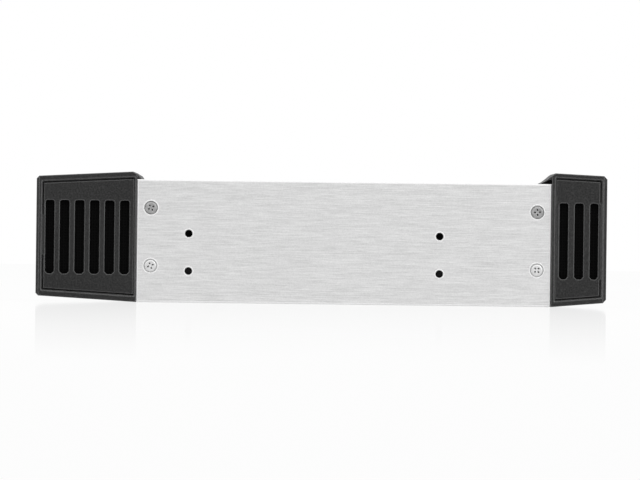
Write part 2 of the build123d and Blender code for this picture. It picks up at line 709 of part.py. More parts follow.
def flat_screw_points():
    return [(x, y) for x in (FLAT_X_REAR, FLAT_X_FRONT) for y in (-FLAT_SCREW_Y, FLAT_SCREW_Y)]


def rail_screw_points():
    centres = (TRAY_Y - rail_centre(), TRAY_Y + rail_centre())
    return [(x, y) for x in RAIL_SCREW_X for y in centres]


def rail_centre():
    """Distance from the tray's centre line to the middle of a guide rail."""
    return TRAY_OUT_HALF + SLIDE_GAP + RAIL_W / 2


def make_plates():
    """Bottom plate and top cover, both held by countersunk screws."""
    with BuildPart() as plate:
        block(PANEL_REAR_X, PANEL_FRONT_X, -PANEL_IN, PANEL_IN, 0, PLATE_T)
        for x, y in flat_screw_points() + rail_screw_points():
            with Locations(toward(x, y, 0, (0, 0, -1))):
                add(screw_room(PLATE_T), mode=Mode.SUBTRACT)
    finish(plate, "bottom_plate")
    with BuildPart() as cover:
        block(PANEL_REAR_X, PANEL_FRONT_X, -PANEL_IN, PANEL_IN, PANEL_H - COVER_T, PANEL_H)
        for x, y in flat_screw_points():
            with Locations(toward(x, y, PANEL_H, (0, 0, 1))):
                add(screw_room(COVER_T), mode=Mode.SUBTRACT)
    finish(cover, "top_cover")


def make_casing_screws():
    """The countersunk screws of the casing."""
    blank = screw(SCREW_HEAD_R, SCREW_HEAD_H, SCREW_R, SCREW_LEN)
    seats = []
    for sign in (-1, 1):
        for x in (SCREW_X_REAR, SCREW_X_FRONT):
            for z in SIDE_SCREW_Z:
                seats.append(Plane((x, sign * BODY_W / 2, z), x_dir=(1, 0, 0), z_dir=(0, sign, 0)))
    screw_group("side_panel_screws", blank, seats)
    short = screw(SCREW_HEAD_R, SCREW_HEAD_H, SCREW_R, TAB_T + COVER_T)
    seats = [Plane((x, y, PANEL_H), z_dir=(0, 0, 1)) for x, y in flat_screw_points()]
    seats += [Plane((x, y, 0), z_dir=(0, 0, -1)) for x, y in flat_screw_points()]
    screw_group("cover_screws", short, seats)
    rail = screw(SCREW_HEAD_R, SCREW_HEAD_H, SCREW_R, SCREW_LEN)
    screw_group("rail_screws", rail, [Plane((x, y, 0), z_dir=(0, 0, -1)) for x, y in rail_screw_points()])


def make_guide_rail(side):
    """Rail that stands on the bottom plate, with a groove for the tray's runner."""
    inner = TRAY_OUT_HALF + SLIDE_GAP
    sign = -1 if side == "left" else 1
    face = TRAY_Y + sign * inner
    back = face + sign * RAIL_W
    y0, y1 = sorted((face, back))
    groove0, groove1 = sorted((face, face + sign * RUNNER_W))
    with BuildPart() as rail:
        block(RAIL_REAR_X, RAIL_FRONT_X, y0, y1, PLATE_T, RAIL_TOP)
        block(RAIL_REAR_X, RAIL_FRONT_X, groove0, groove1, RUNNER_LOW - SLIDE_GAP, RUNNER_TOP + SLIDE_GAP,
              Mode.SUBTRACT)
        with BuildSketch(Plane.XY.offset(PLATE_T)):
            with Locations(*[p for p in rail_screw_points() if y0 < p[1] < y1]):
                RegularPolygon(PILOT_R, 12)
        extrude(amount=SCREW_LEN, mode=Mode.SUBTRACT)
    finish(rail, f"guide_rail_{side}")


def make_tray_frame():
    """Open tray for the drive: floor, two walls with runners, and a flange for the tray front."""
    left = TRAY_Y - TRAY_OUT_HALF
    right = TRAY_Y + TRAY_OUT_HALF
    floor_pitch = (TRAY_FLANGE_X - TRAY_REAR_X - FLOOR_RIB) / FLOOR_SLOTS
    flange_pitch = (2 * TRAY_IN_HALF - FLANGE_RIB) / FLANGE_SLOTS
    with BuildPart() as tray:
        block(TRAY_REAR_X, TRAY_FLANGE_X, left, right, TRAY_FLOOR_Z, TRAY_FLOOR_Z + TRAY_FLOOR_T)
        for sign in (-1, 1):
            y0, y1 = sorted((TRAY_Y + sign * TRAY_IN_HALF, TRAY_Y + sign * TRAY_OUT_HALF))
            block(TRAY_REAR_X, TRAY_FLANGE_X, y0, y1, TRAY_FLOOR_Z, TRAY_WALL_TOP)
            y0, y1 = sorted((TRAY_Y + sign * TRAY_OUT_HALF, TRAY_Y + sign * (TRAY_OUT_HALF + RUNNER_W)))
            block(TRAY_REAR_X, TRAY_FLANGE_X - RUNNER_STOP, y0, y1, RUNNER_LOW, RUNNER_TOP)
        block(TRAY_FLANGE_X - TRAY_WALL_T, TRAY_FLANGE_X, left, right, TRAY_FLOOR_Z, TRAY_WALL_TOP)
        with BuildSketch(Plane.XY.offset(TRAY_FLOOR_Z)):
            with Locations(((TRAY_REAR_X + TRAY_FLANGE_X) / 2, TRAY_Y)):
                with GridLocations(floor_pitch, 0, FLOOR_SLOTS, 1):
                    Rectangle(floor_pitch - FLOOR_RIB, 2 * (TRAY_IN_HALF - FLOOR_SLOT_SIDE))
        extrude(amount=TRAY_FLOOR_T, mode=Mode.SUBTRACT)
        with BuildSketch(Plane.YZ.offset(TRAY_FLANGE_X)):
            with Locations((TRAY_Y, FLANGE_SLOT_Z)):
                with GridLocations(flange_pitch, 0, FLANGE_SLOTS, 1):
                    Rectangle(flange_pitch - FLANGE_RIB, FLANGE_SLOT_H)
        extrude(amount=-TRAY_WALL_T, mode=Mode.SUBTRACT)
        with Locations(Plane((0, 0, TRAY_FLOOR_Z), x_dir=(1, 0, 0), z_dir=(0, 0, -1))):
            with Locations(*[(x, -y) for x, y in drive_hole_points()]):
                CounterSinkHole(DRIVE_HOLE_R, DRIVE_SINK_R, TRAY_FLOOR_T, 90)
        for y, z in door_screw_points():
            with Locations(toward(TRAY_FLANGE_X - TRAY_WALL_T, y, z, (-1, 0, 0))):
                add(screw_room(TRAY_WALL_T), mode=Mode.SUBTRACT)
    finish(tray, "tray_frame")


def drive_hole_points():
    half = DRIVE_HOLE_PITCH_Y / 2
    return [(DRIVE_REAR_X + x, TRAY_Y + y) for x in DRIVE_HOLE_X for y in (-half, half)]


def door_screw_points():
    """Screws of the tray front, spaced evenly between the hinge and the release button."""
    first = HINGE_Y + 6.5
    step = (RELEASE_Y + 3.0 - first) / (DOOR_SCREWS - 1)
    return [(first + step * i, DOOR_SCREW_Z) for i in range(DOOR_SCREWS)]


def make_tray_front():
    """Front of the tray: a moulding with a pocket for the lever and a block for the release button."""
    in_left = DOOR_LEFT + DOOR_SIDE_T
    low = DOOR_LOW + DOOR_T
    top = DOOR_TOP - DOOR_T
    back = POCKET_X - POCKET_BACK_T
    step_y = HINGE_END_Y + POCKET_BACK_T
    slot_pitch = (POCKET_RIGHT - step_y - POCKET_RIB) / POCKET_SLOTS
    with BuildPart() as door:
        block(TRAY_FLANGE_X, FRONT_X, DOOR_LEFT, DOOR_RIGHT, DOOR_LOW, DOOR_TOP)
        chamfer(door.faces().sort_by(Axis.X)[-1].edges(), DOOR_EDGE_CUT)
        # hollows behind the pocket and the release button, each open to the back
        block(TRAY_FLANGE_X, back, step_y, POCKET_RIGHT, low, top, Mode.SUBTRACT)
        block(TRAY_FLANGE_X, back - POCKET_BACK_T, in_left, step_y, low, top, Mode.SUBTRACT)
        block(TRAY_FLANGE_X, BEZEL_IN_X, POCKET_RIGHT + DOOR_T, DOOR_RIGHT - DOOR_T, low, top, Mode.SUBTRACT)
        # the lever's pocket, deeper round the knuckle and cut through where the toe swings
        block(POCKET_X, FRONT_X, in_left, POCKET_RIGHT, low, top, Mode.SUBTRACT)
        block(back - HINGE_CLEAR, POCKET_X, in_left, HINGE_END_Y, low, top, Mode.SUBTRACT)
        block(HINGE_X - HINGE_R - TOE_LEN - 2 * HINGE_CLEAR, HINGE_X + PIN_R, DOOR_LEFT,
              HINGE_Y + HINGE_R + HINGE_CLEAR, TOE_LOW - HINGE_CLEAR, TOE_TOP + HINGE_CLEAR, Mode.SUBTRACT)
        with BuildSketch(Plane.YZ.offset(back)):
            with Locations(((step_y + POCKET_RIGHT) / 2, POCKET_SLOT_Z)):
                with GridLocations(slot_pitch, 0, POCKET_SLOTS, 1):
                    Rectangle(slot_pitch - POCKET_RIB, POCKET_SLOT_H)
        extrude(amount=POCKET_BACK_T, mode=Mode.SUBTRACT)
        post(HINGE_X, HINGE_Y, DOOR_LOW + 1, DOOR_TOP - 1, PIN_R, Mode.SUBTRACT)
        with BuildSketch(Plane.YZ.offset(BEZEL_IN_X)):
            with Locations((RELEASE_Y, RELEASE_Z)):
                RectangleRounded(RELEASE_W + 2 * RELEASE_GAP, RELEASE_H + 2 * RELEASE_GAP, 1.3)
        extrude(amount=BEZEL_WALL, mode=Mode.SUBTRACT)
        for y, z in door_screw_points():
            end = back if y < POCKET_RIGHT else BEZEL_IN_X
            foot = toward(TRAY_FLANGE_X, y, z, (1, 0, 0))
            prism(foot, end - TRAY_FLANGE_X, DOOR_SCREW_BOSS_R, Mode.ADD)
            prism(foot, SCREW_LEN, PILOT_R)
    finish(door, "tray_front")


def make_lever():
    """Lever that fills the pocket: a slotted face with ribs behind it and a round knuckle on the pin."""
    face_x = FRONT_X - DOOR_FACE_IN
    low = DOOR_LOW + DOOR_T + LEVER_GAP
    top = DOOR_TOP - DOOR_T - LEVER_GAP
    tip = POCKET_RIGHT - LEVER_GAP
    with BuildPart() as lever:
        block(face_x - LEVER_T, face_x, HINGE_Y, tip, low, top)
        block(face_x - LEVER_T, face_x - LEVER_SKIN, HINGE_Y + HINGE_R + LEVER_RIB, tip - LEVER_RIB,
              low + LEVER_RIB, top - LEVER_RIB, Mode.SUBTRACT)
        post(HINGE_X, HINGE_Y, low, top, HINGE_R)
        block(HINGE_X - HINGE_R, HINGE_X, HINGE_Y - HINGE_R - TOE_LEN, HINGE_Y, TOE_LOW, TOE_TOP)
        post(HINGE_X, HINGE_Y, low, top, PIN_R + PIN_FIT, Mode.SUBTRACT)
        with BuildSketch(Plane.YZ.offset(face_x)) as slots:
            for i in range(LEVER_SLOTS):
                with Locations((LEVER_SLOT_FIRST + i * LEVER_SLOT_PITCH, (low + top) / 2)):
                    Rectangle(LEVER_SLOT_W, LEVER_SLOT_H)
            chamfer(slots.vertices(), LEVER_SLOT_CUT)
        extrude(amount=-LEVER_SKIN, mode=Mode.SUBTRACT)
    finish(lever, "lever_handle")
    with BuildPart() as pin:
        post(HINGE_X, HINGE_Y, DOOR_LOW + 1, DOOR_TOP - 1, PIN_R)
    finish(pin, "lever_pin")


def make_release_button():
    """Button that is pressed into the tray front, with a collar behind the face and a bent leaf spring."""
    with BuildPart() as button:
        with BuildSketch(Plane.YZ.offset(RELEASE_BACK_X)):
            with Locations((RELEASE_Y, RELEASE_Z)):
                RectangleRounded(RELEASE_W, RELEASE_H, 1.0)
        extrude(amount=FRONT_X - DOOR_FACE_IN - RELEASE_BACK_X)
        with BuildSketch(Plane.YZ.offset(RELEASE_BACK_X)):
            with Locations((RELEASE_Y, RELEASE_Z)):
                Rectangle(RELEASE_W + 2 * RELEASE_COLLAR, RELEASE_H + 2 * RELEASE_COLLAR)
        extrude(amount=BEZEL_IN_X - RELEASE_GAP - RELEASE_BACK_X)
    finish(button, "release_button")
    rear = TRAY_FLANGE_X + SPRING_T / 2
    front = RELEASE_BACK_X - SPRING_T / 2
    with BuildPart() as spring:
        with BuildSketch(Plane.XY.offset(SPRING_LOW)):
            with BuildLine():
                FilletPolyline((rear, RELEASE_Y + 9), (rear, RELEASE_Y - 5), (front, RELEASE_Y + 1),
                               (front, RELEASE_Y + 4), radius=0.8)
            trace(line_width=SPRING_T)
        extrude(amount=SPRING_W)
    finish(spring, "release_spring")


def make_lock():
    """Lock in the column: a fixed body with its nut, and a barrel with a keyway and a cam on its tail."""
    face_x = FRONT_X - DOOR_FACE_IN
    rear_x = face_x - LOCK_LEN
    inner_x = rear_x + LOCK_BACK_T
    tail_x = rear_x - 2 * LOCK_BACK_T
    cam_x = tail_x + LOCK_FIT * 5
    with BuildPart() as body:
        rod(rear_x, face_x, COLUMN_Y, LOCK_Z, LOCK_BODY_R)
        rod(face_x - LOCK_FLANGE_T, face_x, COLUMN_Y, LOCK_Z, LOCK_FLANGE_R)
        rod(inner_x, face_x, COLUMN_Y, LOCK_Z, LOCK_R + LOCK_FIT, Mode.SUBTRACT)
        rod(rear_x, inner_x, COLUMN_Y, LOCK_Z, LOCK_TAIL_R + LOCK_FIT, Mode.SUBTRACT)
    finish(body, "lock_body")
    with BuildPart() as nut:
        with BuildSketch(Plane.YZ.offset(BEZEL_IN_X)):
            with Locations((COLUMN_Y, LOCK_Z)):
                RegularPolygon(NUT_R, 6)
                Circle(LOCK_BODY_R, mode=Mode.SUBTRACT)
        extrude(amount=-NUT_T)
    finish(nut, "lock_nut")
    with BuildPart() as barrel:
        rod(inner_x + LOCK_FIT, face_x - LOCK_FIT, COLUMN_Y, LOCK_Z, LOCK_R)
        rod(tail_x, inner_x + LOCK_FIT, COLUMN_Y, LOCK_Z, LOCK_TAIL_R)
        block(face_x - KEYWAY_DEEP, face_x, COLUMN_Y - KEYWAY_W / 2, COLUMN_Y + KEYWAY_W / 2,
              LOCK_Z - KEYWAY_H / 2, LOCK_Z + KEYWAY_H / 2, Mode.SUBTRACT)
    finish(barrel, "lock_barrel")
    with BuildPart() as cam:
        with BuildSketch(Plane.YZ.offset(cam_x)):
            with Locations((COLUMN_Y, LOCK_Z)):
                Circle(CAM_R)
            with Locations((COLUMN_Y, LOCK_Z + CAM_REACH / 2)):
                RectangleRounded(CAM_W, CAM_REACH, 1.0)
            with Locations((COLUMN_Y, LOCK_Z)):
                Circle(LOCK_TAIL_R + LOCK_FIT / 4, mode=Mode.SUBTRACT)
        extrude(amount=CAM_T)
    finish(cam, "lock_cam")


def make_front_board():
    """Small board behind the column with the switch, the lamps, their light pipes and the power button."""
    board_face = FRONT_BOARD_X + FRONT_BOARD_T
    face_x = FRONT_X - DOOR_FACE_IN
    edge = FRONT_SCREW_OUT + FRONT_BOSS_R
    with BuildPart() as board:
        block(FRONT_BOARD_X, board_face, COLUMN_Y - edge, COLUMN_Y + edge, FRONT_BOARD_LOW, FRONT_BOARD_TOP)
        for y in front_board_screw_y():
            back = toward(FRONT_BOARD_X, y, FRONT_SCREW_Z, (1, 0, 0))
            prism(back, FRONT_BOARD_T, FRONT_SCREW_R + SCREW_FIT)
    finish(board, "front_board")
    blank = screw(FRONT_SCREW_R * 1.9, FRONT_BOARD_T, FRONT_SCREW_R, FRONT_BOARD_T * 6, flat_head=False)
    head_x = FRONT_BOARD_X - FRONT_BOARD_T
    seats = [Plane((head_x, y, FRONT_SCREW_Z), z_dir=(-1, 0, 0)) for y in front_board_screw_y()]
    screw_group("front_board_screws", blank, seats)
    with BuildPart() as header:
        block(FRONT_BOARD_X - HEADER_T, FRONT_BOARD_X, COLUMN_Y - 1.4, COLUMN_Y + 1.4,
              BUTTON_Z - 2.5, BUTTON_Z + 6.5)
        block(FRONT_BOARD_X - HEADER_T, FRONT_BOARD_X - HEADER_T + 1, COLUMN_Y - 0.4, COLUMN_Y + 0.4,
              BUTTON_Z - 2, BUTTON_Z + 6, Mode.SUBTRACT)
    finish(header, "front_board_header")
    with BuildPart() as switch:
        block(board_face, board_face + SWITCH_T, COLUMN_Y - SWITCH_HALF, COLUMN_Y + SWITCH_HALF,
              BUTTON_Z - SWITCH_HALF, BUTTON_Z + SWITCH_HALF)
        rod(board_face + 0.6, board_face + SWITCH_T, COLUMN_Y, BUTTON_Z, PLUNGER_R + BUTTON_GAP,
            Mode.SUBTRACT)
    finish(switch, "power_switch")
    with BuildPart() as plunger:
        switch_top = board_face + SWITCH_T
        rod(switch_top - PUSH_ROOM, switch_top + PUSH_ROOM * 0.9, COLUMN_Y, BUTTON_Z, PLUNGER_R)
    finish(plunger, "switch_plunger")
    with BuildPart() as button:
        rod(board_face + SWITCH_T + PUSH_ROOM * 0.9, BEZEL_IN_X - 1.5, COLUMN_Y, BUTTON_Z, PLUNGER_R)
        rod(BEZEL_IN_X - 1.5, BEZEL_IN_X - BUTTON_GAP, COLUMN_Y, BUTTON_Z, BUTTON_R + 1.2)
        rod(BEZEL_IN_X - BUTTON_GAP, face_x, COLUMN_Y, BUTTON_Z, BUTTON_R)
        chamfer(button.faces().sort_by(Axis.X)[-1].edges(), 0.3)
    finish(button, "power_button")
    with BuildPart() as lamps:
        for y in lamp_y():
            block(board_face, board_face + LAMP_T, y - LAMP_T, y + LAMP_T,
                  LAMP_Z - LAMP_T * 0.8, LAMP_Z + LAMP_T * 0.8)
    finish(lamps, "indicator_lamps")
    with BuildPart() as pipes:
        for y in lamp_y():
            rod(board_face + LAMP_T, face_x, y, LAMP_Z, LAMP_R)
    finish(pipes, "light_pipes")


def make_backplane():
    """Backplane board and everything soldered to it."""
    with BuildPart() as board:
        block(BOARD_X, BOARD_FRONT_X, BOARD_LEFT, BOARD_RIGHT, BOARD_LOW, BOARD_TOP)
        for y in BOARD_SCREW_Y:
            for z in BOARD_SCREW_Z:
                prism(toward(BOARD_X, y, z, (1, 0, 0)), BOARD_T, SCREW_R + SCREW_FIT)
        with BuildSketch(Plane.YZ.offset(BOARD_X)):
            with Locations(((BOARD_LEFT + BOARD_RIGHT) / 2, BOARD_SLOT_Z)):
                with GridLocations(BOARD_SLOT_PITCH, 0, BOARD_SLOTS, 1):
                    Rectangle(BOARD_SLOT_W, BOARD_SLOT_H)
        extrude(amount=BOARD_T, mode=Mode.SUBTRACT)
    finish(board, "backplane_board")
    head_x = BOARD_FRONT_X + BOARD_T
    blank = screw(SCREW_R * 2, BOARD_T, SCREW_R, BOARD_T + SCREW_LEN, flat_head=False)
    seats = [Plane((head_x, y, z), z_dir=(1, 0, 0)) for y in BOARD_SCREW_Y for z in BOARD_SCREW_Z]
    screw_group("board_screws", blank, seats)
    make_drive_socket()
    make_plugs()
    with BuildPart() as header:
        block(BOARD_FRONT_X, BOARD_FRONT_X + HEADER_T, BOARD_RIGHT - 9, BOARD_RIGHT - 1,
              PLUG_Z - 4, PLUG_Z + 4)
        block(BOARD_FRONT_X + 0.9, BOARD_FRONT_X + 1.5, BOARD_RIGHT - 4, BOARD_RIGHT - 1,
              PLUG_Z - 3, PLUG_Z + 3,
              Mode.SUBTRACT)
    finish(header, "backplane_header")
    with BuildPart() as chip:
        with BuildSketch(Plane.YZ.offset(BOARD_FRONT_X)):
            with Locations((TRAY_Y - CHIP_SIZE, PLUG_Z + 1)):
                Rectangle(CHIP_SIZE, CHIP_SIZE)
        extrude(amount=CHIP_T)
    finish(chip, "controller_chip")
    with BuildPart() as capacitors:
        for z in CAPACITOR_Z:
            rod(BOARD_X - CAPACITOR_H, BOARD_X, CAPACITOR_Y, z, CAPACITOR_R)
    finish(capacitors, "capacitors")
    with BuildPart() as fan_plug:
        with BuildSketch(Plane.YZ.offset(BOARD_X)):
            with Locations((BOARD_RIGHT - FAN_PLUG_IN, BOARD_SCREW_Z[0])):
                Rectangle(FAN_PLUG_W, FAN_PLUG_H)
        extrude(amount=-FAN_PLUG_L)
        with BuildSketch(Plane.YZ.offset(BOARD_X - FAN_PLUG_L)):
            with Locations((BOARD_RIGHT - FAN_PLUG_IN, BOARD_SCREW_Z[0])):
                Rectangle(FAN_PLUG_W - 1.4, FAN_PLUG_H - 1.2)
        extrude(amount=FAN_PLUG_L - 1.4, mode=Mode.SUBTRACT)
    finish(fan_plug, "fan_header")


def make_drive_socket():
    """Socket that the drive's own edge plugs into, with its row of contacts."""
    front = BOARD_FRONT_X + SOCKET_L
    with BuildPart() as socket:
        block(BOARD_FRONT_X, front, SOCKET_Y - SOCKET_W / 2, SOCKET_Y + SOCKET_W / 2,
              SOCKET_Z - SOCKET_H / 2, SOCKET_Z + SOCKET_H / 2)
        for first, count in contact_rows():
            block(front - SOCKET_DEEP, front, first - CONTACT_PITCH, first + count * CONTACT_PITCH,
                  SOCKET_Z - SOCKET_SLOT_H / 2, SOCKET_Z + SOCKET_SLOT_H / 2, Mode.SUBTRACT)
    finish(socket, "drive_socket")
    low = SOCKET_Z - SOCKET_SLOT_H / 2
    with BuildPart() as contacts:
        for first, count in contact_rows():
            for i in range(count):
                y = first + i * CONTACT_PITCH
                block(front - SOCKET_DEEP, front - CONTACT_W, y - CONTACT_W / 2, y + CONTACT_W / 2, low,
                      low + CONTACT_T)
    finish(contacts, "drive_socket_contacts")


def contact_rows():
    """First place and number of the contacts: 7 for data and 15 for power, as the drive's edge has them."""
    return ((SOCKET_Y - 14 * CONTACT_PITCH, 7), (SOCKET_Y - 4 * CONTACT_PITCH, 15))


def make_plugs():
    """Data plug and power plug that face the back, each a shroud with its contacts."""
    floor_x = BOARD_X - PLUG_BACK_T
    in_w = DATA_W - 2 * PLUG_WALL
    in_h = DATA_H - 2 * PLUG_WALL
    with BuildPart() as data:
        block(PLUG_END_X, BOARD_X, DATA_Y - DATA_W / 2, DATA_Y + DATA_W / 2,
              PLUG_Z - DATA_H / 2, PLUG_Z + DATA_H / 2)
        block(PLUG_END_X, floor_x, DATA_Y - in_w / 2, DATA_Y + in_w / 2, PLUG_Z - in_h / 2, PLUG_Z + in_h / 2,
              Mode.SUBTRACT)
        block(PLUG_END_X + 1, floor_x, DATA_Y - TONGUE_HALF, DATA_Y + TONGUE_HALF, PLUG_Z - TONGUE_T / 2,
              PLUG_Z + TONGUE_T / 2)
        block(PLUG_END_X + 1, floor_x, DATA_Y + TONGUE_HALF - TONGUE_T, DATA_Y + TONGUE_HALF,
              PLUG_Z - TONGUE_T / 2,
              PLUG_Z + TONGUE_T * 1.2)
    finish(data, "data_plug")
    with BuildPart() as power:
        block(PLUG_END_X, BOARD_X, POWER_Y - POWER_W / 2, POWER_Y + POWER_W / 2, PLUG_Z - POWER_H / 2,
              PLUG_Z + POWER_H / 2)
        with BuildSketch(Plane.YZ.offset(PLUG_END_X)) as hollow:
            with Locations((POWER_Y, PLUG_Z)):
                Rectangle(POWER_W - 2 * PLUG_WALL, POWER_H - 2 * PLUG_WALL)
            chamfer(hollow.vertices().group_by(Axis.Z)[-1], 2.2)
        extrude(amount=floor_x - PLUG_END_X, mode=Mode.SUBTRACT)
    finish(power, "power_plug")
    with BuildPart() as pins:
        with BuildSketch(Plane.YZ.offset(PLUG_END_X + PLUG_WALL)):
            with Locations((POWER_Y, PLUG_Z)):
                with GridLocations(PIN_PITCH, 0, 4, 1):
                    RegularPolygon(PIN_SIZE_R, 12)
        extrude(amount=floor_x - PLUG_END_X - PLUG_WALL)
    finish(pins, "power_plug_pins")


def make_fan():
    """Fan of 30 mm: square frame with a bearing plate on three struts, and a bladed rotor."""
    plate_x = FAN_FRONT_X - FAN_PLATE_T
    hub_x = REAR_IN_X + 0.5
    hub_end = plate_x - 0.3
    with BuildPart() as housing:
        with BuildSketch(Plane.YZ.offset(REAR_IN_X)) as frame_face:
            with Locations((FAN_Y, FAN_Z)):
                Rectangle(FAN_SIZE, FAN_SIZE)
                chamfer(frame_face.vertices(), FAN_CORNER)
                Circle(FAN_BORE_R, mode=Mode.SUBTRACT)
                with GridLocations(FAN_HOLE_PITCH, FAN_HOLE_PITCH, 2, 2):
                    RegularPolygon(SCREW_R + SCREW_FIT, 12, mode=Mode.SUBTRACT)
        extrude(amount=FAN_T)
        with BuildSketch(Plane.YZ.offset(plate_x)):
            with Locations((FAN_Y, FAN_Z)):
                Circle(FAN_HUB_R)
                with PolarLocations((FAN_BORE_R + 0.5) / 2, 3, 30):
                    Rectangle(FAN_BORE_R + 0.5, FAN_STRUT_W)
                Circle(FAN_SHAFT_R + 0.1, mode=Mode.SUBTRACT)
        extrude(amount=FAN_PLATE_T)
    finish(housing, "fan_housing")
    with BuildPart() as rotor:
        rod(hub_x, hub_end, FAN_Y, FAN_Z, FAN_HUB_R)
        rod(hub_end, plate_x + FAN_PLATE_T - 0.2, FAN_Y, FAN_Z, FAN_SHAFT_R)
        add([fan_blade(360 / FAN_BLADES * i, (hub_x + hub_end) / 2) for i in range(FAN_BLADES)])
    finish(rotor, "fan_rotor")
    head_t = FAN_PLATE_T
    blank = screw(FAN_SCREW_HEAD_R, head_t, SCREW_R, FAN_T + head_t + REAR_WALL - 0.5, flat_head=False)
    seats = []
    for y in (-1, 1):
        for z in (-1, 1):
            spot = (FAN_FRONT_X + head_t, FAN_Y + y * FAN_HOLE_PITCH / 2, FAN_Z + z * FAN_HOLE_PITCH / 2)
            seats.append(Plane(spot, z_dir=(1, 0, 0)))
    screw_group("fan_screws", blank, seats)


def fan_blade(turn, x):
    """One blade, lofted from a steep root to a flatter tip."""
    out = Vector(0, cos(radians(turn)), sin(radians(turn)))
    with BuildPart() as blade:
        for radius, chord, pitch in BLADE_SECTIONS:
            origin = Vector(x, FAN_Y, FAN_Z) + out * radius
            with BuildSketch(Plane(origin, x_dir=(1, 0, 0), z_dir=out)):
                Rectangle(chord, BLADE_T, rotation=90 - pitch)
        loft(ruled=True)
    return blade.part


make_rear_frame()
make_front_bezel()
make_vents()
make_plates()
make_casing_screws()
for side in ("left", "right"):
    make_side_panel(side)
    make_guide_rail(side)
make_tray_frame()
make_tray_front()
screw_group(
    "tray_front_screws",
    screw(SCREW_HEAD_R, SCREW_HEAD_H, SCREW_R, SCREW_LEN),
    [Plane((TRAY_FLANGE_X - TRAY_WALL_T, y, z), z_dir=(-1, 0, 0)) for y, z in door_screw_points()],
)
make_lever()
make_release_button()
make_lock()
make_front_board()
make_backplane()
make_fan()
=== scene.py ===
import math

import bmesh
import bpy
from mathutils import Matrix, Vector


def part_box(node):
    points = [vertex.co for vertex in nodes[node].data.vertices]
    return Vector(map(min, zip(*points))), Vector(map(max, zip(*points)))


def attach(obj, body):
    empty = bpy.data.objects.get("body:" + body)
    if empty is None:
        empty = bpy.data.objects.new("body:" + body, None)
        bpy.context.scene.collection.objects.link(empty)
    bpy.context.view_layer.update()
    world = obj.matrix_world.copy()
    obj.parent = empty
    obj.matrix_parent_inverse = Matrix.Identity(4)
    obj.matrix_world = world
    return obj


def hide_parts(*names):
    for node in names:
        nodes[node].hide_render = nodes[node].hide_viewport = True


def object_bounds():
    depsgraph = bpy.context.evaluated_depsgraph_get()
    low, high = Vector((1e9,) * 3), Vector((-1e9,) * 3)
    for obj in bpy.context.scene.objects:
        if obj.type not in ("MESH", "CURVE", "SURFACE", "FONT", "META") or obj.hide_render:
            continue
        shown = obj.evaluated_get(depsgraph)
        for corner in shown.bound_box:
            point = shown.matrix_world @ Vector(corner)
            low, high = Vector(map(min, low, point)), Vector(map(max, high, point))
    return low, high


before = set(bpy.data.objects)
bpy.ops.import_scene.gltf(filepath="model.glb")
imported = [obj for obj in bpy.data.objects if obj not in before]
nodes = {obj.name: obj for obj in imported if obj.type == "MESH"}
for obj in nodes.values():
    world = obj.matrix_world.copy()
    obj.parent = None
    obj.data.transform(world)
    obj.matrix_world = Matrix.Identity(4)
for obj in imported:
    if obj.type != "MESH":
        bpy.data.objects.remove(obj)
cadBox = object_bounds()
print("frame loaded:", len(nodes), "nodes")


# a socket of a node tree: sums written on it add their Math nodes
class Wire:
    def __init__(self, tree, socket):
        self.tree, self.socket = tree, socket

    def sum(self, operation, first, second, clamp=False):
        node = self.tree.nodes.new("ShaderNodeMath")
        node.operation, node.use_clamp = operation, clamp
        for place, value in zip(node.inputs, (first, second)):
            if isinstance(value, Wire):
                self.tree.links.new(value.socket, place)
            else:
                place.default_value = value
        return Wire(self.tree, node.outputs[0])

    def __add__(self, other):
        return self.sum("ADD", self, other)

    def __radd__(self, other):
        return self.sum("ADD", other, self)

    def __sub__(self, other):
        return self.sum("SUBTRACT", self, other)

    def __rsub__(self, other):
        return self.sum("SUBTRACT", other, self)

    def __mul__(self, other):
        return self.sum("MULTIPLY", self, other)

    def __rmul__(self, other):
        return self.sum("MULTIPLY", other, self)

    def __pow__(self, other):
        return self.sum("POWER", self, other)

    def __gt__(self, other):
        return self.sum("GREATER_THAN", self, other)

    def most(self, other):
        return self.sum("MAXIMUM", self, other)

    def kept(self):
        return self.sum("MULTIPLY", self, 1.0, clamp=True)

    def fraction(self):
        return self.sum("FRACT", self, 0.0)


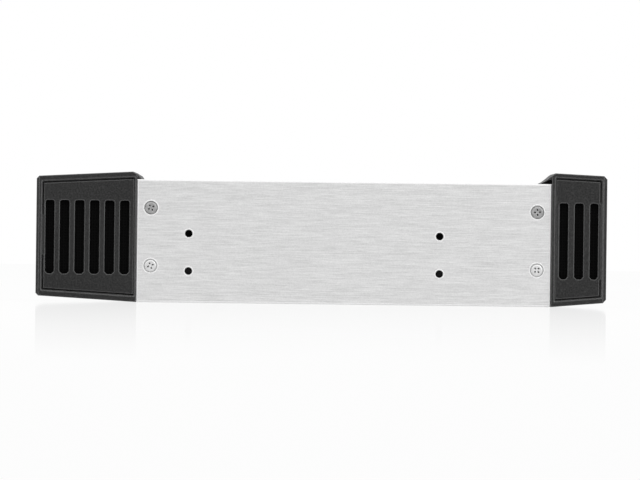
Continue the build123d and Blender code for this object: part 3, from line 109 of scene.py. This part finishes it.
# a node tree to be filled: a material's or the world's
class Finish:
    def __init__(self, name, holder=None, **fixed):
        self.material = holder or bpy.data.materials.new(name)
        self.material.use_nodes = True
        self.tree = self.material.node_tree
        self.shader = self.tree.nodes.get("Principled BSDF")
        for socket, value in fixed.items():
            self.set(socket.replace("_", " "), value)

    def feed(self, place, value):
        if isinstance(value, Wire):
            self.tree.links.new(value.socket, place)
        elif isinstance(value, (tuple, list)) and place.type == "RGBA" and len(value) == 3:
            place.default_value = (*value, 1.0)
        else:
            place.default_value = value

    def node(self, kind, settings=None, sockets=None, output=0):
        node = self.tree.nodes.new("ShaderNode" + kind)
        for name, value in (settings or {}).items():
            setattr(node, name, value)
        for name, value in (sockets or {}).items():
            self.feed(node.inputs[name], value)
        return Wire(self.tree, node.outputs[output])

    def place(self, stretch=(1, 1, 1)):
        where = self.node("TexCoord", output="Object")
        return self.node("Mapping", {}, {"Vector": where, "Scale": stretch})

    def grain(self, scale, detail=2.0, stretch=(1, 1, 1)):
        sockets = {"Vector": self.place(stretch), "Scale": scale, "Detail": detail}
        return self.node("TexNoise", {}, sockets)

    # the Mix node's sockets for colours come after those for numbers and vectors
    def mix(self, factor, first, second):
        return self.node("Mix", {"data_type": "RGBA"}, {0: factor, 6: first, 7: second}, 2)

    # how much a rounded edge of this radius would turn the surface, from 0 on a flat face to 1 on a
    # sharp edge, and the rounded edge's own normal
    def edge(self, radius, gain):
        rounded = self.node("Bevel", {"samples": 4}, {"Radius": radius})
        flat = self.node("NewGeometry", output="Normal")
        same = self.node("VectorMath", {"operation": "DOT_PRODUCT"}, {0: rounded, 1: flat}, "Value")
        return ((1 - same) * gain).kept(), rounded

    def bump(self, height, strength, distance, normal=None):
        sockets = {"Height": height, "Strength": strength, "Distance": distance}
        if normal is not None:
            sockets["Normal"] = normal
        self.set("Normal", self.node("Bump", {}, sockets))

    def set(self, socket, value):
        self.feed(self.shader.inputs[socket], value)

    def end(self, surface):
        for node in self.tree.nodes:
            if node.type in ("OUTPUT_MATERIAL", "OUTPUT_WORLD"):
                self.tree.links.new(surface.socket, node.inputs["Surface"])


def tint(colour, factor):
    return tuple(min(1.0, channel * factor) for channel in colour)


# moulded plastic: a fine spark-eroded grain, uneven gloss, bright specks painted in as glints, and
# a pale highlight painted along the edges
plasticLook = {
    "grainSize": 0.00050,
    "grainDepth": 0.00004,
    "grainTone": 2.8,
    "cloudScale": 60,
    "cloudTone": 0.4,
    "toneRange": 0.75,
    "glintScale": 0.8,
    "glintAbove": 0.70,
    "glintTone": 0.9,
    "edgeRadius": 0.0005,
    "edgeGain": 24.0,
    "edgeHighlightTone": 10.0,
    "specular": 0.27,
    "glossRange": 0.16,
    "bumpStrength": 0.6,
}


def mouldedPlastic(name, colour, rough, edgeHighlight=1.0, speckle=1.0):
    look = plasticLook
    finish = Finish(name, Specular_IOR_Level=look["specular"])
    fine = finish.grain(1 / look["grainSize"], 2.0)
    broad = finish.grain(look["cloudScale"], 2.0)
    tone = (fine - 0.5) * look["grainTone"] + (broad - 0.5) * look["cloudTone"] + 0.5
    swing = look["toneRange"] * speckle
    body = finish.mix(tone, tint(colour, 1 - swing), tint(colour, 1 + swing))
    # bright specks painted into the base colour: painted glints of the grain
    paintedGlints = finish.grain(look["glintScale"] / look["grainSize"], 0.0) > look["glintAbove"]
    body = finish.mix(paintedGlints, body, tint(colour, 1 + look["glintTone"] * speckle))
    edge, rounded = finish.edge(look["edgeRadius"], look["edgeGain"])
    # the edge mask paints a pale highlight along the edges into the base colour
    finish.set("Base Color", finish.mix(edge * edgeHighlight, body, tint(colour, look["edgeHighlightTone"])))
    finish.set("Roughness", fine * look["glossRange"] + (rough - look["glossRange"] / 2))
    finish.bump(fine, look["bumpStrength"], look["grainDepth"], rounded)
    return finish.material


# metal rolled or brushed along X: streaks in tone, gloss and height, and a pale highlight painted
# along the edges
metalLook = {
    "strokeTone": 0.45,
    "scratchScale": 2.7,
    "scratchTone": 0.3,
    "gritScale": 0.8,
    "gritTone": 0.25,
    "edgeRadius": 0.00028,
    "edgeGain": 20.0,
    "edgeHighlightTone": 1.6,
    "edgeMatt": 0.7,
    "glossRange": 0.2,
    "bumpStrength": 0.4,
    "depth": 0.000004,
}


def brushedMetal(name, colour, rough, streak, contrast=0.4):
    look = metalLook
    finish = Finish(name)
    length, width = streak
    stretch = (1 / length, 1 / width, 1 / width)
    strokes = finish.grain(1.0, 2.0, stretch)
    scratches = finish.grain(look["scratchScale"], 1.0, stretch)
    grit = finish.grain(look["gritScale"] / width, 1.0)
    tone = strokes * look["strokeTone"] + scratches * look["scratchTone"] + grit * look["gritTone"]
    edge, rounded = finish.edge(look["edgeRadius"], look["edgeGain"])
    body = finish.mix(tone, tint(colour, 1 - contrast), tint(colour, 1 + contrast))
    # the edge mask paints a pale, less metallic highlight along the edges
    finish.set("Base Color", finish.mix(edge, body, tint(colour, look["edgeHighlightTone"])))
    finish.set("Metallic", 1 - edge * look["edgeMatt"])
    finish.set("Roughness", strokes * look["glossRange"] + (rough - look["glossRange"] / 2))
    finish.bump(strokes, look["bumpStrength"], look["depth"], rounded)
    return finish.material


# the woven dust screen: two sets of fine threads that cross, with holes between them; threads
# coloured darker than the black plastic and holes near-black, painted shade inside the vent slots
screenLook = {
    "pitch": 0.0009,
    "waveFactor": 20,  # radians that the Wave texture turns by in one unit
    "thread": (0.0045, 0.0045, 0.0045),
    "hole": (0.0006, 0.0006, 0.0006),
    "sharpness": 2,
    "specular": 0.04,
    "rough": 0.6,
    "glossRange": 0.1,
    "bumpStrength": 0.8,
    "depth": 0.0001,
}


def wovenScreen(name):
    look = screenLook
    finish = Finish(name, Specular_IOR_Level=look["specular"])
    sockets = {"Vector": finish.place(), "Scale": math.tau / look["pitch"] / look["waveFactor"]}
    across = finish.node("TexWave", {"bands_direction": "X"}, sockets)
    upright = finish.node("TexWave", {"bands_direction": "Z"}, sockets)
    threads = across.most(upright)
    # near-black holes and dark threads: painted shade inside the vent slots
    finish.set("Base Color", finish.mix(threads ** look["sharpness"], look["hole"], look["thread"]))
    finish.set("Roughness", threads * look["glossRange"] + look["rough"])
    finish.bump(threads, look["bumpStrength"], look["depth"])
    return finish.material


# a circuit board: solder mask over tracks, which stand a little above it
boardLook = {
    "mask": (0.010, 0.085, 0.034),
    "track": (0.020, 0.150, 0.060),
    "cell": 0.0021,
    "tracksInCell": 5.0,
    "trackShare": 0.32,
    "trackTone": 0.8,
    "speckScale": 2600,
    "speckTone": 0.2,
    "rough": 0.32,
    "bumpStrength": 0.5,
    "depth": 0.00003,
}


def circuitBoard(name):
    look = boardLook
    finish = Finish(name, Roughness=look["rough"])
    sockets = {"Vector": finish.place(), "Scale": 1 / look["cell"]}
    near = finish.node("TexVoronoi", {"distance": "MANHATTAN", "feature": "F1"}, sockets)
    tracks = (near * look["tracksInCell"]).fraction() > 1 - look["trackShare"]
    specks = finish.grain(look["speckScale"], 1.0)
    tone = tracks * look["trackTone"] + specks * look["speckTone"]
    finish.set("Base Color", finish.mix(tone, look["mask"], look["track"]))
    finish.bump(tracks, look["bumpStrength"], look["depth"])
    return finish.material


# clear moulded lens or light pipe: bright and faintly cloudy inside
clearLook = {
    "through": 0.35,
    "rough": 0.16,
    "cloudScale": 380,
    "darkest": 0.85,
    "palest": 1.1,
    "bumpStrength": 0.2,
    "depth": 0.00002,
}


def clearPlastic(name, colour):
    look = clearLook
    finish = Finish(name, Transmission_Weight=look["through"], Roughness=look["rough"])
    cloud = finish.grain(look["cloudScale"], 2.0)
    pale = tint(colour, look["palest"])
    finish.set("Base Color", finish.mix(cloud, tint(colour, look["darkest"]), pale))
    finish.bump(cloud, look["bumpStrength"], look["depth"])
    return finish.material


# each material slot of the frame, and its finish
panelGrey = (0.625, 0.625, 0.625)
steelGrey = (0.56, 0.56, 0.562)
# dull parts: a weaker painted edge highlight, a weaker grain and fainter painted glints
dull = {"edgeHighlight": 0.4, "speckle": 0.5}
finishes = {
    "charcoal_plastic": mouldedPlastic("charcoalPlastic", (0.0185, 0.0185, 0.0185), 0.55),
    "tray_plastic": mouldedPlastic("trayPlastic", (0.0150, 0.0150, 0.0150), 0.52),
    "front_plastic": mouldedPlastic("frontPlastic", (0.0210, 0.0210, 0.0210), 0.5),
    "fan_plastic": mouldedPlastic("fanPlastic", (0.012, 0.012, 0.0125), 0.42, **dull),
    "rail_plastic": mouldedPlastic("railPlastic", (0.016, 0.016, 0.017), 0.36, **dull),
    "connector_black": mouldedPlastic("connectorBlack", (0.010, 0.010, 0.011), 0.4, **dull),
    "connector_white": mouldedPlastic("connectorWhite", (0.70, 0.68, 0.60), 0.44, 0.1, 0.12),
    "screen_mesh": wovenScreen("screenMesh"),
    "side_aluminium": brushedMetal("sideAluminium", panelGrey, 0.42, (0.008, 0.00034), 0.48),
    "cover_steel": brushedMetal("coverSteel", (0.50, 0.505, 0.51), 0.4, (0.03, 0.0006)),
    "screw_steel": brushedMetal("screwSteel", steelGrey, 0.28, (0.0006, 0.0004)),
    "lock_metal": brushedMetal("lockMetal", (0.62, 0.62, 0.625), 0.24, (0.0004, 0.003), 0.15),
    "contact_gold": brushedMetal("contactGold", (0.83, 0.62, 0.27), 0.25, (0.002, 0.0003)),
    "board_green": circuitBoard("boardGreen"),
    "lamp_clear": clearPlastic("lampClear", (0.62, 0.65, 0.63)),
    "capacitor_sleeve": brushedMetal("capacitorSleeve", (0.50, 0.51, 0.53), 0.34, (0.0008, 0.003)),
}
for piece in nodes.values():
    slots = piece.data.materials
    for place in range(len(slots)):
        slots[place] = finishes[slots[place].name.split(".")[0]]
print("finishes made and given to the nodes:", len(finishes))


# cut metal, painted paler and less metallic than the brushed face beside it: a painted highlight
# along cut edges, round holes and under screw heads
cutLook = {
    "colour": (0.90, 0.90, 0.90),
    "markScale": 2200,
    "darkest": 0.9,
    "palest": 1.06,
    "metal": 0.35,
    "metalRange": 0.2,
    "rough": 0.3,
    "glossRange": 0.1,
    "bumpStrength": 0.3,
    "depth": 0.000005,
}


def cutMetal(name):
    look = cutLook
    finish = Finish(name)
    marks = finish.grain(look["markScale"], 2.0)
    dark, pale = tint(look["colour"], look["darkest"]), tint(look["colour"], look["palest"])
    finish.set("Base Color", finish.mix(marks, dark, pale))
    finish.set("Metallic", marks * look["metalRange"] + look["metal"])
    finish.set("Roughness", marks * look["glossRange"] + look["rough"])
    finish.bump(marks, look["bumpStrength"], look["depth"])
    return finish.material


# screw heads darkened in patches, the upper row of them darker than the lower, with a highlight
# painted round their edges
darkenedHeadLook = {
    "colour": (0.66, 0.66, 0.66),
    "dark": (0.22, 0.22, 0.22),
    "darkAbove": 0.0205,
    "darkFade": 300,
    "upperTone": 0.75,
    "patchScale": 700,
    "patchTone": 0.8,
    "edgeRadius": 0.0002,
    "edgeGain": 16.0,
    "edgeHighlightTone": 1.4,
    "edgeMatt": 0.5,
    "upperEdgeLoss": 0.5,
    "rough": 0.22,
    "glossRange": 0.16,
    "bumpStrength": 0.4,
    "depth": 0.000008,
}


def darkenedHeadSteel(name):
    look = darkenedHeadLook
    finish = Finish(name)
    height = finish.node("SeparateXYZ", {}, {0: finish.place()}, "Z")
    upper = ((height - look["darkAbove"]) * look["darkFade"]).kept()
    patches = finish.grain(look["patchScale"], 2.0)
    tone = (upper * look["upperTone"] + (patches - 0.5) * look["patchTone"]).kept()
    edge, rounded = finish.edge(look["edgeRadius"], look["edgeGain"])
    body = finish.mix(tone, look["colour"], look["dark"])
    shown = edge * (1 - upper * look["upperEdgeLoss"])
    # the edge mask paints a pale highlight round each head's rim, weaker on the upper row
    finish.set("Base Color", finish.mix(shown, body, tint(look["colour"], look["edgeHighlightTone"])))
    finish.set("Metallic", 1 - edge * look["edgeMatt"])
    finish.set("Roughness", patches * look["glossRange"] + look["rough"])
    finish.bump(patches, look["bumpStrength"], look["depth"], rounded)
    return finish.material


cutEdgeHighlight = cutMetal("cutAluminiumHighlight")
headSteel = darkenedHeadSteel("headSteel")


def addPiece(name, shape, slot, body, *replaced, look=None):
    bmesh.ops.recalc_face_normals(shape, faces=shape.faces)
    mesh = bpy.data.meshes.new(name)
    shape.to_mesh(mesh)
    shape.free()
    mesh.materials.append(look or finishes[slot])
    piece = bpy.data.objects.new(name, mesh)
    bpy.context.scene.collection.objects.link(piece)
    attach(piece, body)
    if replaced:
        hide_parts(*replaced)


def joinShape(whole, part, place):
    bmesh.ops.transform(part, matrix=place, verts=part.verts)
    mesh = bpy.data.meshes.new("part")
    part.to_mesh(mesh)
    part.free()
    whole.from_mesh(mesh)
    bpy.data.meshes.remove(mesh)


# stands a part at a spot, with its own up along a direction, turned about it
def facing(spot, direction, turn=0.0):
    up = Vector((0, 0, 1)).rotation_difference(Vector(direction)).to_matrix().to_4x4()
    return Matrix.Translation(spot) @ up @ Matrix.Rotation(math.radians(turn), 4, "Z")


# one screw that points down from the origin: a cross recess in a head made of rings, then its shank
# lengths of the cross are shares of the recess's reach
crossShape = {
    "armHalf": 0.24,
    "heartHalf": 0.42,
    "heartLines": 0.4,
    "endLines": 0.9,
    "armEnds": 0.8,
    "wallSlope": 0.07,
    "ringCorners": 24,
}


def crossScrew(head):
    part = bmesh.new()
    arm = head["recess"]
    half, heart = arm * crossShape["armHalf"], arm * crossShape["heartHalf"]
    grid = bmesh.ops.create_grid(part, x_segments=5, y_segments=5, size=arm)["verts"]
    for corner in grid:
        for axis in (0, 1):
            if abs(corner.co[axis]) < arm * crossShape["endLines"]:
                line = half if abs(corner.co[axis]) < arm * crossShape["heartLines"] else heart
                corner.co[axis] = math.copysign(line, corner.co[axis])
    outside = [face for face in part.faces
               if min(abs(n) for n in face.calc_center_median()[:2]) > half]
    bmesh.ops.delete(part, geom=outside, context="FACES")
    cross = list(part.faces)
    outline = [edge for edge in part.edges if edge.is_boundary]
    inner = head["rings"][0][0]
    ring = bmesh.ops.create_circle(part, segments=crossShape["ringCorners"], radius=inner)["verts"]
    rim = list({edge for corner in ring for edge in corner.link_edges})
    bmesh.ops.triangle_fill(part, edges=outline + rim, use_beauty=True)
    for radius, drop in head["rings"][1:]:
        grown = bmesh.ops.extrude_edge_only(part, edges=rim)["geom"]
        ring = [item for item in grown if isinstance(item, bmesh.types.BMVert)]
        rim = [item for item in grown if isinstance(item, bmesh.types.BMEdge)]
        now = ring[0].co.to_2d().length
        bmesh.ops.scale(part, verts=ring, vec=(radius / now, radius / now, 1))
        for corner in ring:
            corner.co.z = -drop
    bmesh.ops.contextual_create(part, geom=rim)
    bmesh.ops.recalc_face_normals(part, faces=part.faces)
    bmesh.ops.inset_region(part, faces=cross, thickness=arm * crossShape["wallSlope"],
                           depth=-head["depth"] * head["middle"], use_even_offset=True)
    floor = {corner for face in cross for corner in face.verts}
    ends = [corner for corner in floor if corner.co.to_2d().length > arm * crossShape["armEnds"]]
    bmesh.ops.translate(part, verts=ends, vec=(0, 0, -head["depth"] * (1 - head["middle"])))
    return part


def screwPiece(name, node, body, head, places, look=None):
    whole = bmesh.new()
    for place in places:
        joinShape(whole, crossScrew(head), place)
    addPiece(name, whole, "screw_steel", body, node, look=look)


# a thin raised ring, left where a hole was cut
ringShape = {"sectionCorners": 8, "steps": 32}


def edgeRing(radius, wide, high):
    part = bmesh.new()
    bmesh.ops.create_circle(part, segments=ringShape["sectionCorners"], radius=wide / 2)
    bmesh.ops.rotate(part, verts=part.verts, matrix=Matrix.Rotation(math.radians(90), 3, "X"))
    bmesh.ops.scale(part, verts=part.verts, vec=(1, 1, high * 2 / wide))
    bmesh.ops.translate(part, verts=part.verts, vec=(radius + wide / 2, 0, 0))
    bmesh.ops.spin(part, geom=part.edges[:], cent=(0, 0, 0), axis=(0, 0, 1), angle=math.tau,
                   steps=ringShape["steps"], use_merge=True)
    return part


# each ring is drawn in the pale cut-metal finish: a painted highlight
def ringPiece(name, places, radius, wide, high):
    whole = bmesh.new()
    for place in places:
        joinShape(whole, edgeRing(radius, wide, high), place)
    addPiece(name, whole, "side_aluminium", "cage", look=cutEdgeHighlight)


# the eight countersunk screws of the side panels
sideScrews = {
    "fromEnd": 0.0045,
    "heights": (0.01155, 0.02985),
    "sink": 0.00012,
    "turns": (22, 32, 44, 4),
    "seat": 0.00218,
    "seatWide": 0.00036,
    "seatHigh": 0.00005,
    "head": {
        "recess": 0.00108,
        "depth": 0.0011,
        "middle": 0.12,
        "rings": ((0.00150, 0.0), (0.00180, 0.00008), (0.00196, 0.00030), (0.0012, 0.0010),
                  (0.0011, 0.0055)),
    },
}


def makeSideScrews():
    low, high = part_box("side_panel_left")
    places, seats = [], []
    for side, face in ((-1, low.y), (1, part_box("side_panel_right")[1].y)):
        turns = iter(sideScrews["turns"])
        for x in (low.x + sideScrews["fromEnd"], high.x - sideScrews["fromEnd"]):
            for z in sideScrews["heights"]:
                spot = (x, face - side * sideScrews["sink"], z)
                places.append(facing(spot, (0, side, 0), next(turns)))
                seats.append(facing((x, face, z), (0, side, 0)))
    screwPiece("sideScrews", "side_panel_screws", "cage", sideScrews["head"], places, headSteel)
    ringPiece("sideScrewSeats", seats, sideScrews["seat"], sideScrews["seatWide"],
              sideScrews["seatHigh"])


# other screws stand at the corners of their node's box, a head's radius in
def cornerSpots(node, axis, radius, level):
    low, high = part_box(node)
    others = [n for n in range(3) if n != axis]
    spots = []
    for first in (low[others[0]] + radius, high[others[0]] - radius):
        for second in (low[others[1]] + radius, high[others[1]] - radius):
            spot = Vector()
            spot[axis], spot[others[0]], spot[others[1]] = level, first, second
            spots.append(spot)
    return spots


flatHead = {
    "recess": 0.0013,
    "depth": 0.0008,
    "middle": 0.6,
    "rings": ((0.0020, 0.0), (0.00222, 0.00005), (0.00226, 0.00015), (0.0012, 0.0012),
              (0.0011, 0.0055)),
}
coverScrews = {"radius": 0.0023, "sink": 0.00005, "turns": (12, 50, 31, 77)}


def makeCoverScrews():
    low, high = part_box("cover_screws")
    places = []
    for level, up in ((low.z, -1), (high.z, 1)):
        spots = cornerSpots("cover_screws", 2, coverScrews["radius"], level)
        for spot, turn in zip(spots, coverScrews["turns"]):
            spot = spot - Vector((0, 0, up * coverScrews["sink"]))
            places.append(facing(spot, (0, 0, up), turn))
    screwPiece("coverScrews", "cover_screws", "cage", flatHead, places)


# a round head: shares of its radius and its height, from the recess out to the rim and under it
panShape = {
    "recess": 0.55,
    "depth": 0.6,
    "middle": 0.7,
    "rings": ((0.62, 0.0), (0.86, 0.14), (0.98, 0.42), (1.0, 1.0), (0.55, 1.0)),
    "shank": 0.5,
}


def panHead(radius, height, length):
    rings = [(radius * out, height * drop) for out, drop in panShape["rings"]]
    return {
        "recess": radius * panShape["recess"],
        "depth": height * panShape["depth"],
        "middle": panShape["middle"],
        "rings": rings + [(radius * panShape["shank"], length)],
    }


# the fan's screws and the rear board's, with round heads that face the front
roundScrews = {
    "fan_screws": {"name": "fanScrews", "radius": 0.0022, "height": 0.0012, "length": 0.010},
    "board_screws": {"name": "boardScrews", "radius": 0.0024, "height": 0.0016, "length": 0.007},
}
roundTurns = {"first": 17, "next": 31}


def makeRoundScrews():
    for node, screw in roundScrews.items():
        low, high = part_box(node)
        radius = screw["radius"]
        head = panHead(radius, screw["height"], min(screw["length"], high.x - low.x))
        places = []
        for n, spot in enumerate(cornerSpots(node, 0, radius, high.x)):
            places.append(facing(spot, (1, 0, 0), roundTurns["first"] + roundTurns["next"] * n))
        screwPiece(screw["name"], node, "cage", head, places)


makeSideScrews()
makeCoverScrews()
makeRoundScrews()
print("screws made")

# the bay holes: a turned edge around each and the thread inside it, both in the pale cut-metal
# finish, a painted highlight
bayHoles = {
    "fromRear": 0.0165,
    "pitch": 0.07925,
    "heights": (0.010, 0.02184),
    "radius": 0.00125,
    "edgeWide": 0.00038,
    "edgeHigh": 0.00006,
    "threadPitch": 0.0005,
    "threadDeep": 0.00010,
    "threadCrest": 0.45,  # this and the next two are shares of the thread's pitch
    "threadRoot": 0.9,
    "threadStart": 0.3,
    "threadSteps": 20,
    "panel": 0.002,
}


def bayHolePlaces():
    low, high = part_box("side_panel_left")
    places = []
    for side, face in ((-1, low.y), (1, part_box("side_panel_right")[1].y)):
        rear = low.x + bayHoles["fromRear"]
        for x in (rear, rear + bayHoles["pitch"]):
            for z in bayHoles["heights"]:
                places.append(facing((x, face, z), (0, side, 0)))
    return places


def makeBayThreads():
    whole = bmesh.new()
    pitch, radius, steps = bayHoles["threadPitch"], bayHoles["radius"], bayHoles["threadSteps"]
    turns = int(bayHoles["panel"] / pitch) - 1
    crest = (radius - bayHoles["threadDeep"], -pitch * bayHoles["threadCrest"])
    section = ((radius, 0.0), crest, (radius, -pitch * bayHoles["threadRoot"]))
    start = pitch * bayHoles["threadStart"]
    for place in bayHolePlaces():
        part = bmesh.new()
        corners = [part.verts.new((out, 0, height - start)) for out, height in section]
        for first, second in zip(corners, corners[1:] + corners[:1]):
            part.edges.new((first, second))
        bmesh.ops.spin(part, geom=part.edges[:], cent=(0, 0, 0), axis=(0, 0, 1),
                       angle=math.tau * turns, dvec=(0, 0, -pitch / steps), steps=steps * turns,
                       use_merge=False)
        bmesh.ops.holes_fill(part, edges=part.edges[:], sides=3)
        joinShape(whole, part, place)
    addPiece("bayHoleThreads", whole, "side_aluminium", "cage", look=cutEdgeHighlight)


ringPiece("bayHoleEdges", bayHolePlaces(), bayHoles["radius"], bayHoles["edgeWide"],
          bayHoles["edgeHigh"])
makeBayThreads()
print("bay holes finished")

# the side panels' cut edges: a bevel all round, and a narrow line beside it, both painted bright as
# a highlight
panelEdges = {
    "bevel": 0.0003,
    "line": 0.00022,
    "proud": 0.00002,
    "panels": (
        ("panelEdgesLeft", "side_panel_left", -1),
        ("panelEdgesRight", "side_panel_right", 1),
    ),
}


def largestFace(part):
    return max(part.faces, key=lambda face: face.calc_area())


def makePanelEdges():
    for name, node, side in panelEdges["panels"]:
        low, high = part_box(node)
        face = low.y if side < 0 else high.y
        part = bmesh.new()
        bmesh.ops.create_grid(part, x_segments=1, y_segments=1, size=0.5)
        bmesh.ops.scale(part, verts=part.verts, vec=(high.x - low.x, high.z - low.z, 1))
        outline = part.verts[:]
        for wide in (panelEdges["bevel"], panelEdges["line"]):
            bmesh.ops.inset_region(part, faces=[largestFace(part)], thickness=wide,
                                   use_boundary=True, use_even_offset=True)
        bmesh.ops.delete(part, geom=[largestFace(part)], context="FACES_ONLY")
        bmesh.ops.translate(part, verts=outline, vec=(0, 0, -panelEdges["bevel"]))
        bmesh.ops.solidify(part, geom=part.faces[:], thickness=panelEdges["proud"])
        turn = Matrix.Rotation(math.radians(-90 * side), 4, "X")
        spot = ((low.x + high.x) / 2, face + side * panelEdges["proud"], (low.z + high.z) / 2)
        whole = bmesh.new()
        joinShape(whole, part, Matrix.Translation(spot) @ turn)
        addPiece(name, whole, "side_aluminium", "cage", look=cutEdgeHighlight)


makePanelEdges()
print("panel edges made")

# the studio: a pale floor, a white surround and soft lamps
studio = {
    "floorSize": 16.0,
    "glow": 1.0,
    "glowShare": 0.965,
    "paper": 0.65,
    "shine": 0.19,
    "shineRough": 0.03,
    "shineFrom": 0.1,
    "shineTo": 2.9,
    "surround": 0.6,
    "lampAim": 0.02,
    "lamps": (
        ("topLamp", (0.1, -0.1, 2.2), 3.0, 10.0),
        ("keyLamp", (-0.60, -1.25, 1.05), 1.7, 3.4),
        ("sideLamp", (0.62, -0.75, 0.50), 0.95, 1.9),
        ("frontLamp", (0.85, -2.1, 1.0), 1.8, 3.4),
        ("backLamp", (0.4, 2.2, 1.1), 2.0, 4.0),
    ),
}


# 1 for what the camera sees, straight or by a gloss or a clear lens, and 0 for scattered light
def seenStraight(finish):
    camera = finish.node("LightPath", output="Is Camera Ray")
    glossy = finish.node("LightPath", output="Is Glossy Ray")
    through = finish.node("LightPath", output="Is Transmission Ray")
    return camera.most(glossy).most(through)


# the floor's sheen is seen by the camera only, and fades with distance from the object
def makeFloor():
    sheet = bmesh.new()
    bmesh.ops.create_grid(sheet, x_segments=1, y_segments=1, size=studio["floorSize"] / 2)
    bmesh.ops.translate(sheet, verts=sheet.verts, vec=(0, 0, cadBox[0].z))
    mesh = bpy.data.meshes.new("floor")
    sheet.to_mesh(mesh)
    sheet.free()
    floor = bpy.data.objects.new("floor", mesh)
    bpy.context.scene.collection.objects.link(floor)
    paper = Finish("floorPaper")
    white = (1, 1, 1)
    matt = paper.node("BsdfDiffuse", {}, {"Color": (studio["paper"],) * 3})
    glow = paper.node("Emission", {}, {"Color": white, "Strength": studio["glow"]})
    share = seenStraight(paper) * studio["glowShare"]
    body = paper.node("MixShader", {}, {0: share, 1: matt, 2: glow})
    sheen = paper.node("BsdfGlossy", {}, {"Color": white, "Roughness": studio["shineRough"]})
    camera = paper.node("LightPath", output="Is Camera Ray")
    far = paper.node("VectorMath", {"operation": "LENGTH"}, {0: paper.place()}, "Value")
    fade = {"Value": far, "From Min": studio["shineFrom"], "From Max": studio["shineTo"],
            "To Min": 1.0, "To Max": 0.0}
    near = paper.node("MapRange", {}, fade)
    share = camera * near * studio["shine"]
    paper.end(paper.node("MixShader", {}, {0: share, 1: body, 2: sheen}))
    mesh.materials.append(paper.material)


def makeSurround():
    world = bpy.data.worlds.new("surround")
    bpy.context.scene.world = world
    sky = Finish("surround", world)
    level = seenStraight(sky) * (1 - studio["surround"]) + studio["surround"]
    sky.end(sky.node("Background", {}, {"Color": (1, 1, 1), "Strength": level}))


def makeLamps():
    aim = Vector((0, 0, studio["lampAim"]))
    for name, place, size, power in studio["lamps"]:
        lamp = bpy.data.lights.new(name, "AREA")
        lamp.shape, lamp.size, lamp.energy = "SQUARE", size, power
        holder = bpy.data.objects.new(name, lamp)
        bpy.context.scene.collection.objects.link(holder)
        holder.location = place
        holder.rotation_mode = "QUATERNION"
        holder.rotation_quaternion = (aim - Vector(place)).to_track_quat("-Z", "Y")
        holder.visible_camera = False


makeFloor()
makeSurround()
makeLamps()
print("studio made")

# the photograph's view: level, far off and square on to the left panel, with a slight roll
shot = {
    "facePlane": -0.073,
    "reach": 6.0,
    "across": 0.2021,
    "aim": (-0.00043, 0.0203),
    "roll": 0.70,
    "sensor": 36.0,
    "clip": (0.01, 60),
}


def makeCamera():
    lens = bpy.data.cameras.new("camera")
    lens.sensor_width = shot["sensor"]
    lens.lens = shot["sensor"] * shot["reach"] / shot["across"]
    lens.clip_start, lens.clip_end = shot["clip"]
    camera = bpy.data.objects.new("camera", lens)
    bpy.context.scene.collection.objects.link(camera)
    level = Matrix.Rotation(math.radians(90), 4, "X")
    roll = Matrix.Rotation(math.radians(shot["roll"]), 4, "Z")
    x, z = shot["aim"]
    spot = Matrix.Translation((x, shot["facePlane"] - shot["reach"], z))
    camera.matrix_world = spot @ level @ roll
    bpy.context.scene.camera = camera


makeCamera()
print("camera made")
bpy.context.scene.view_settings.view_transform = "Standard"
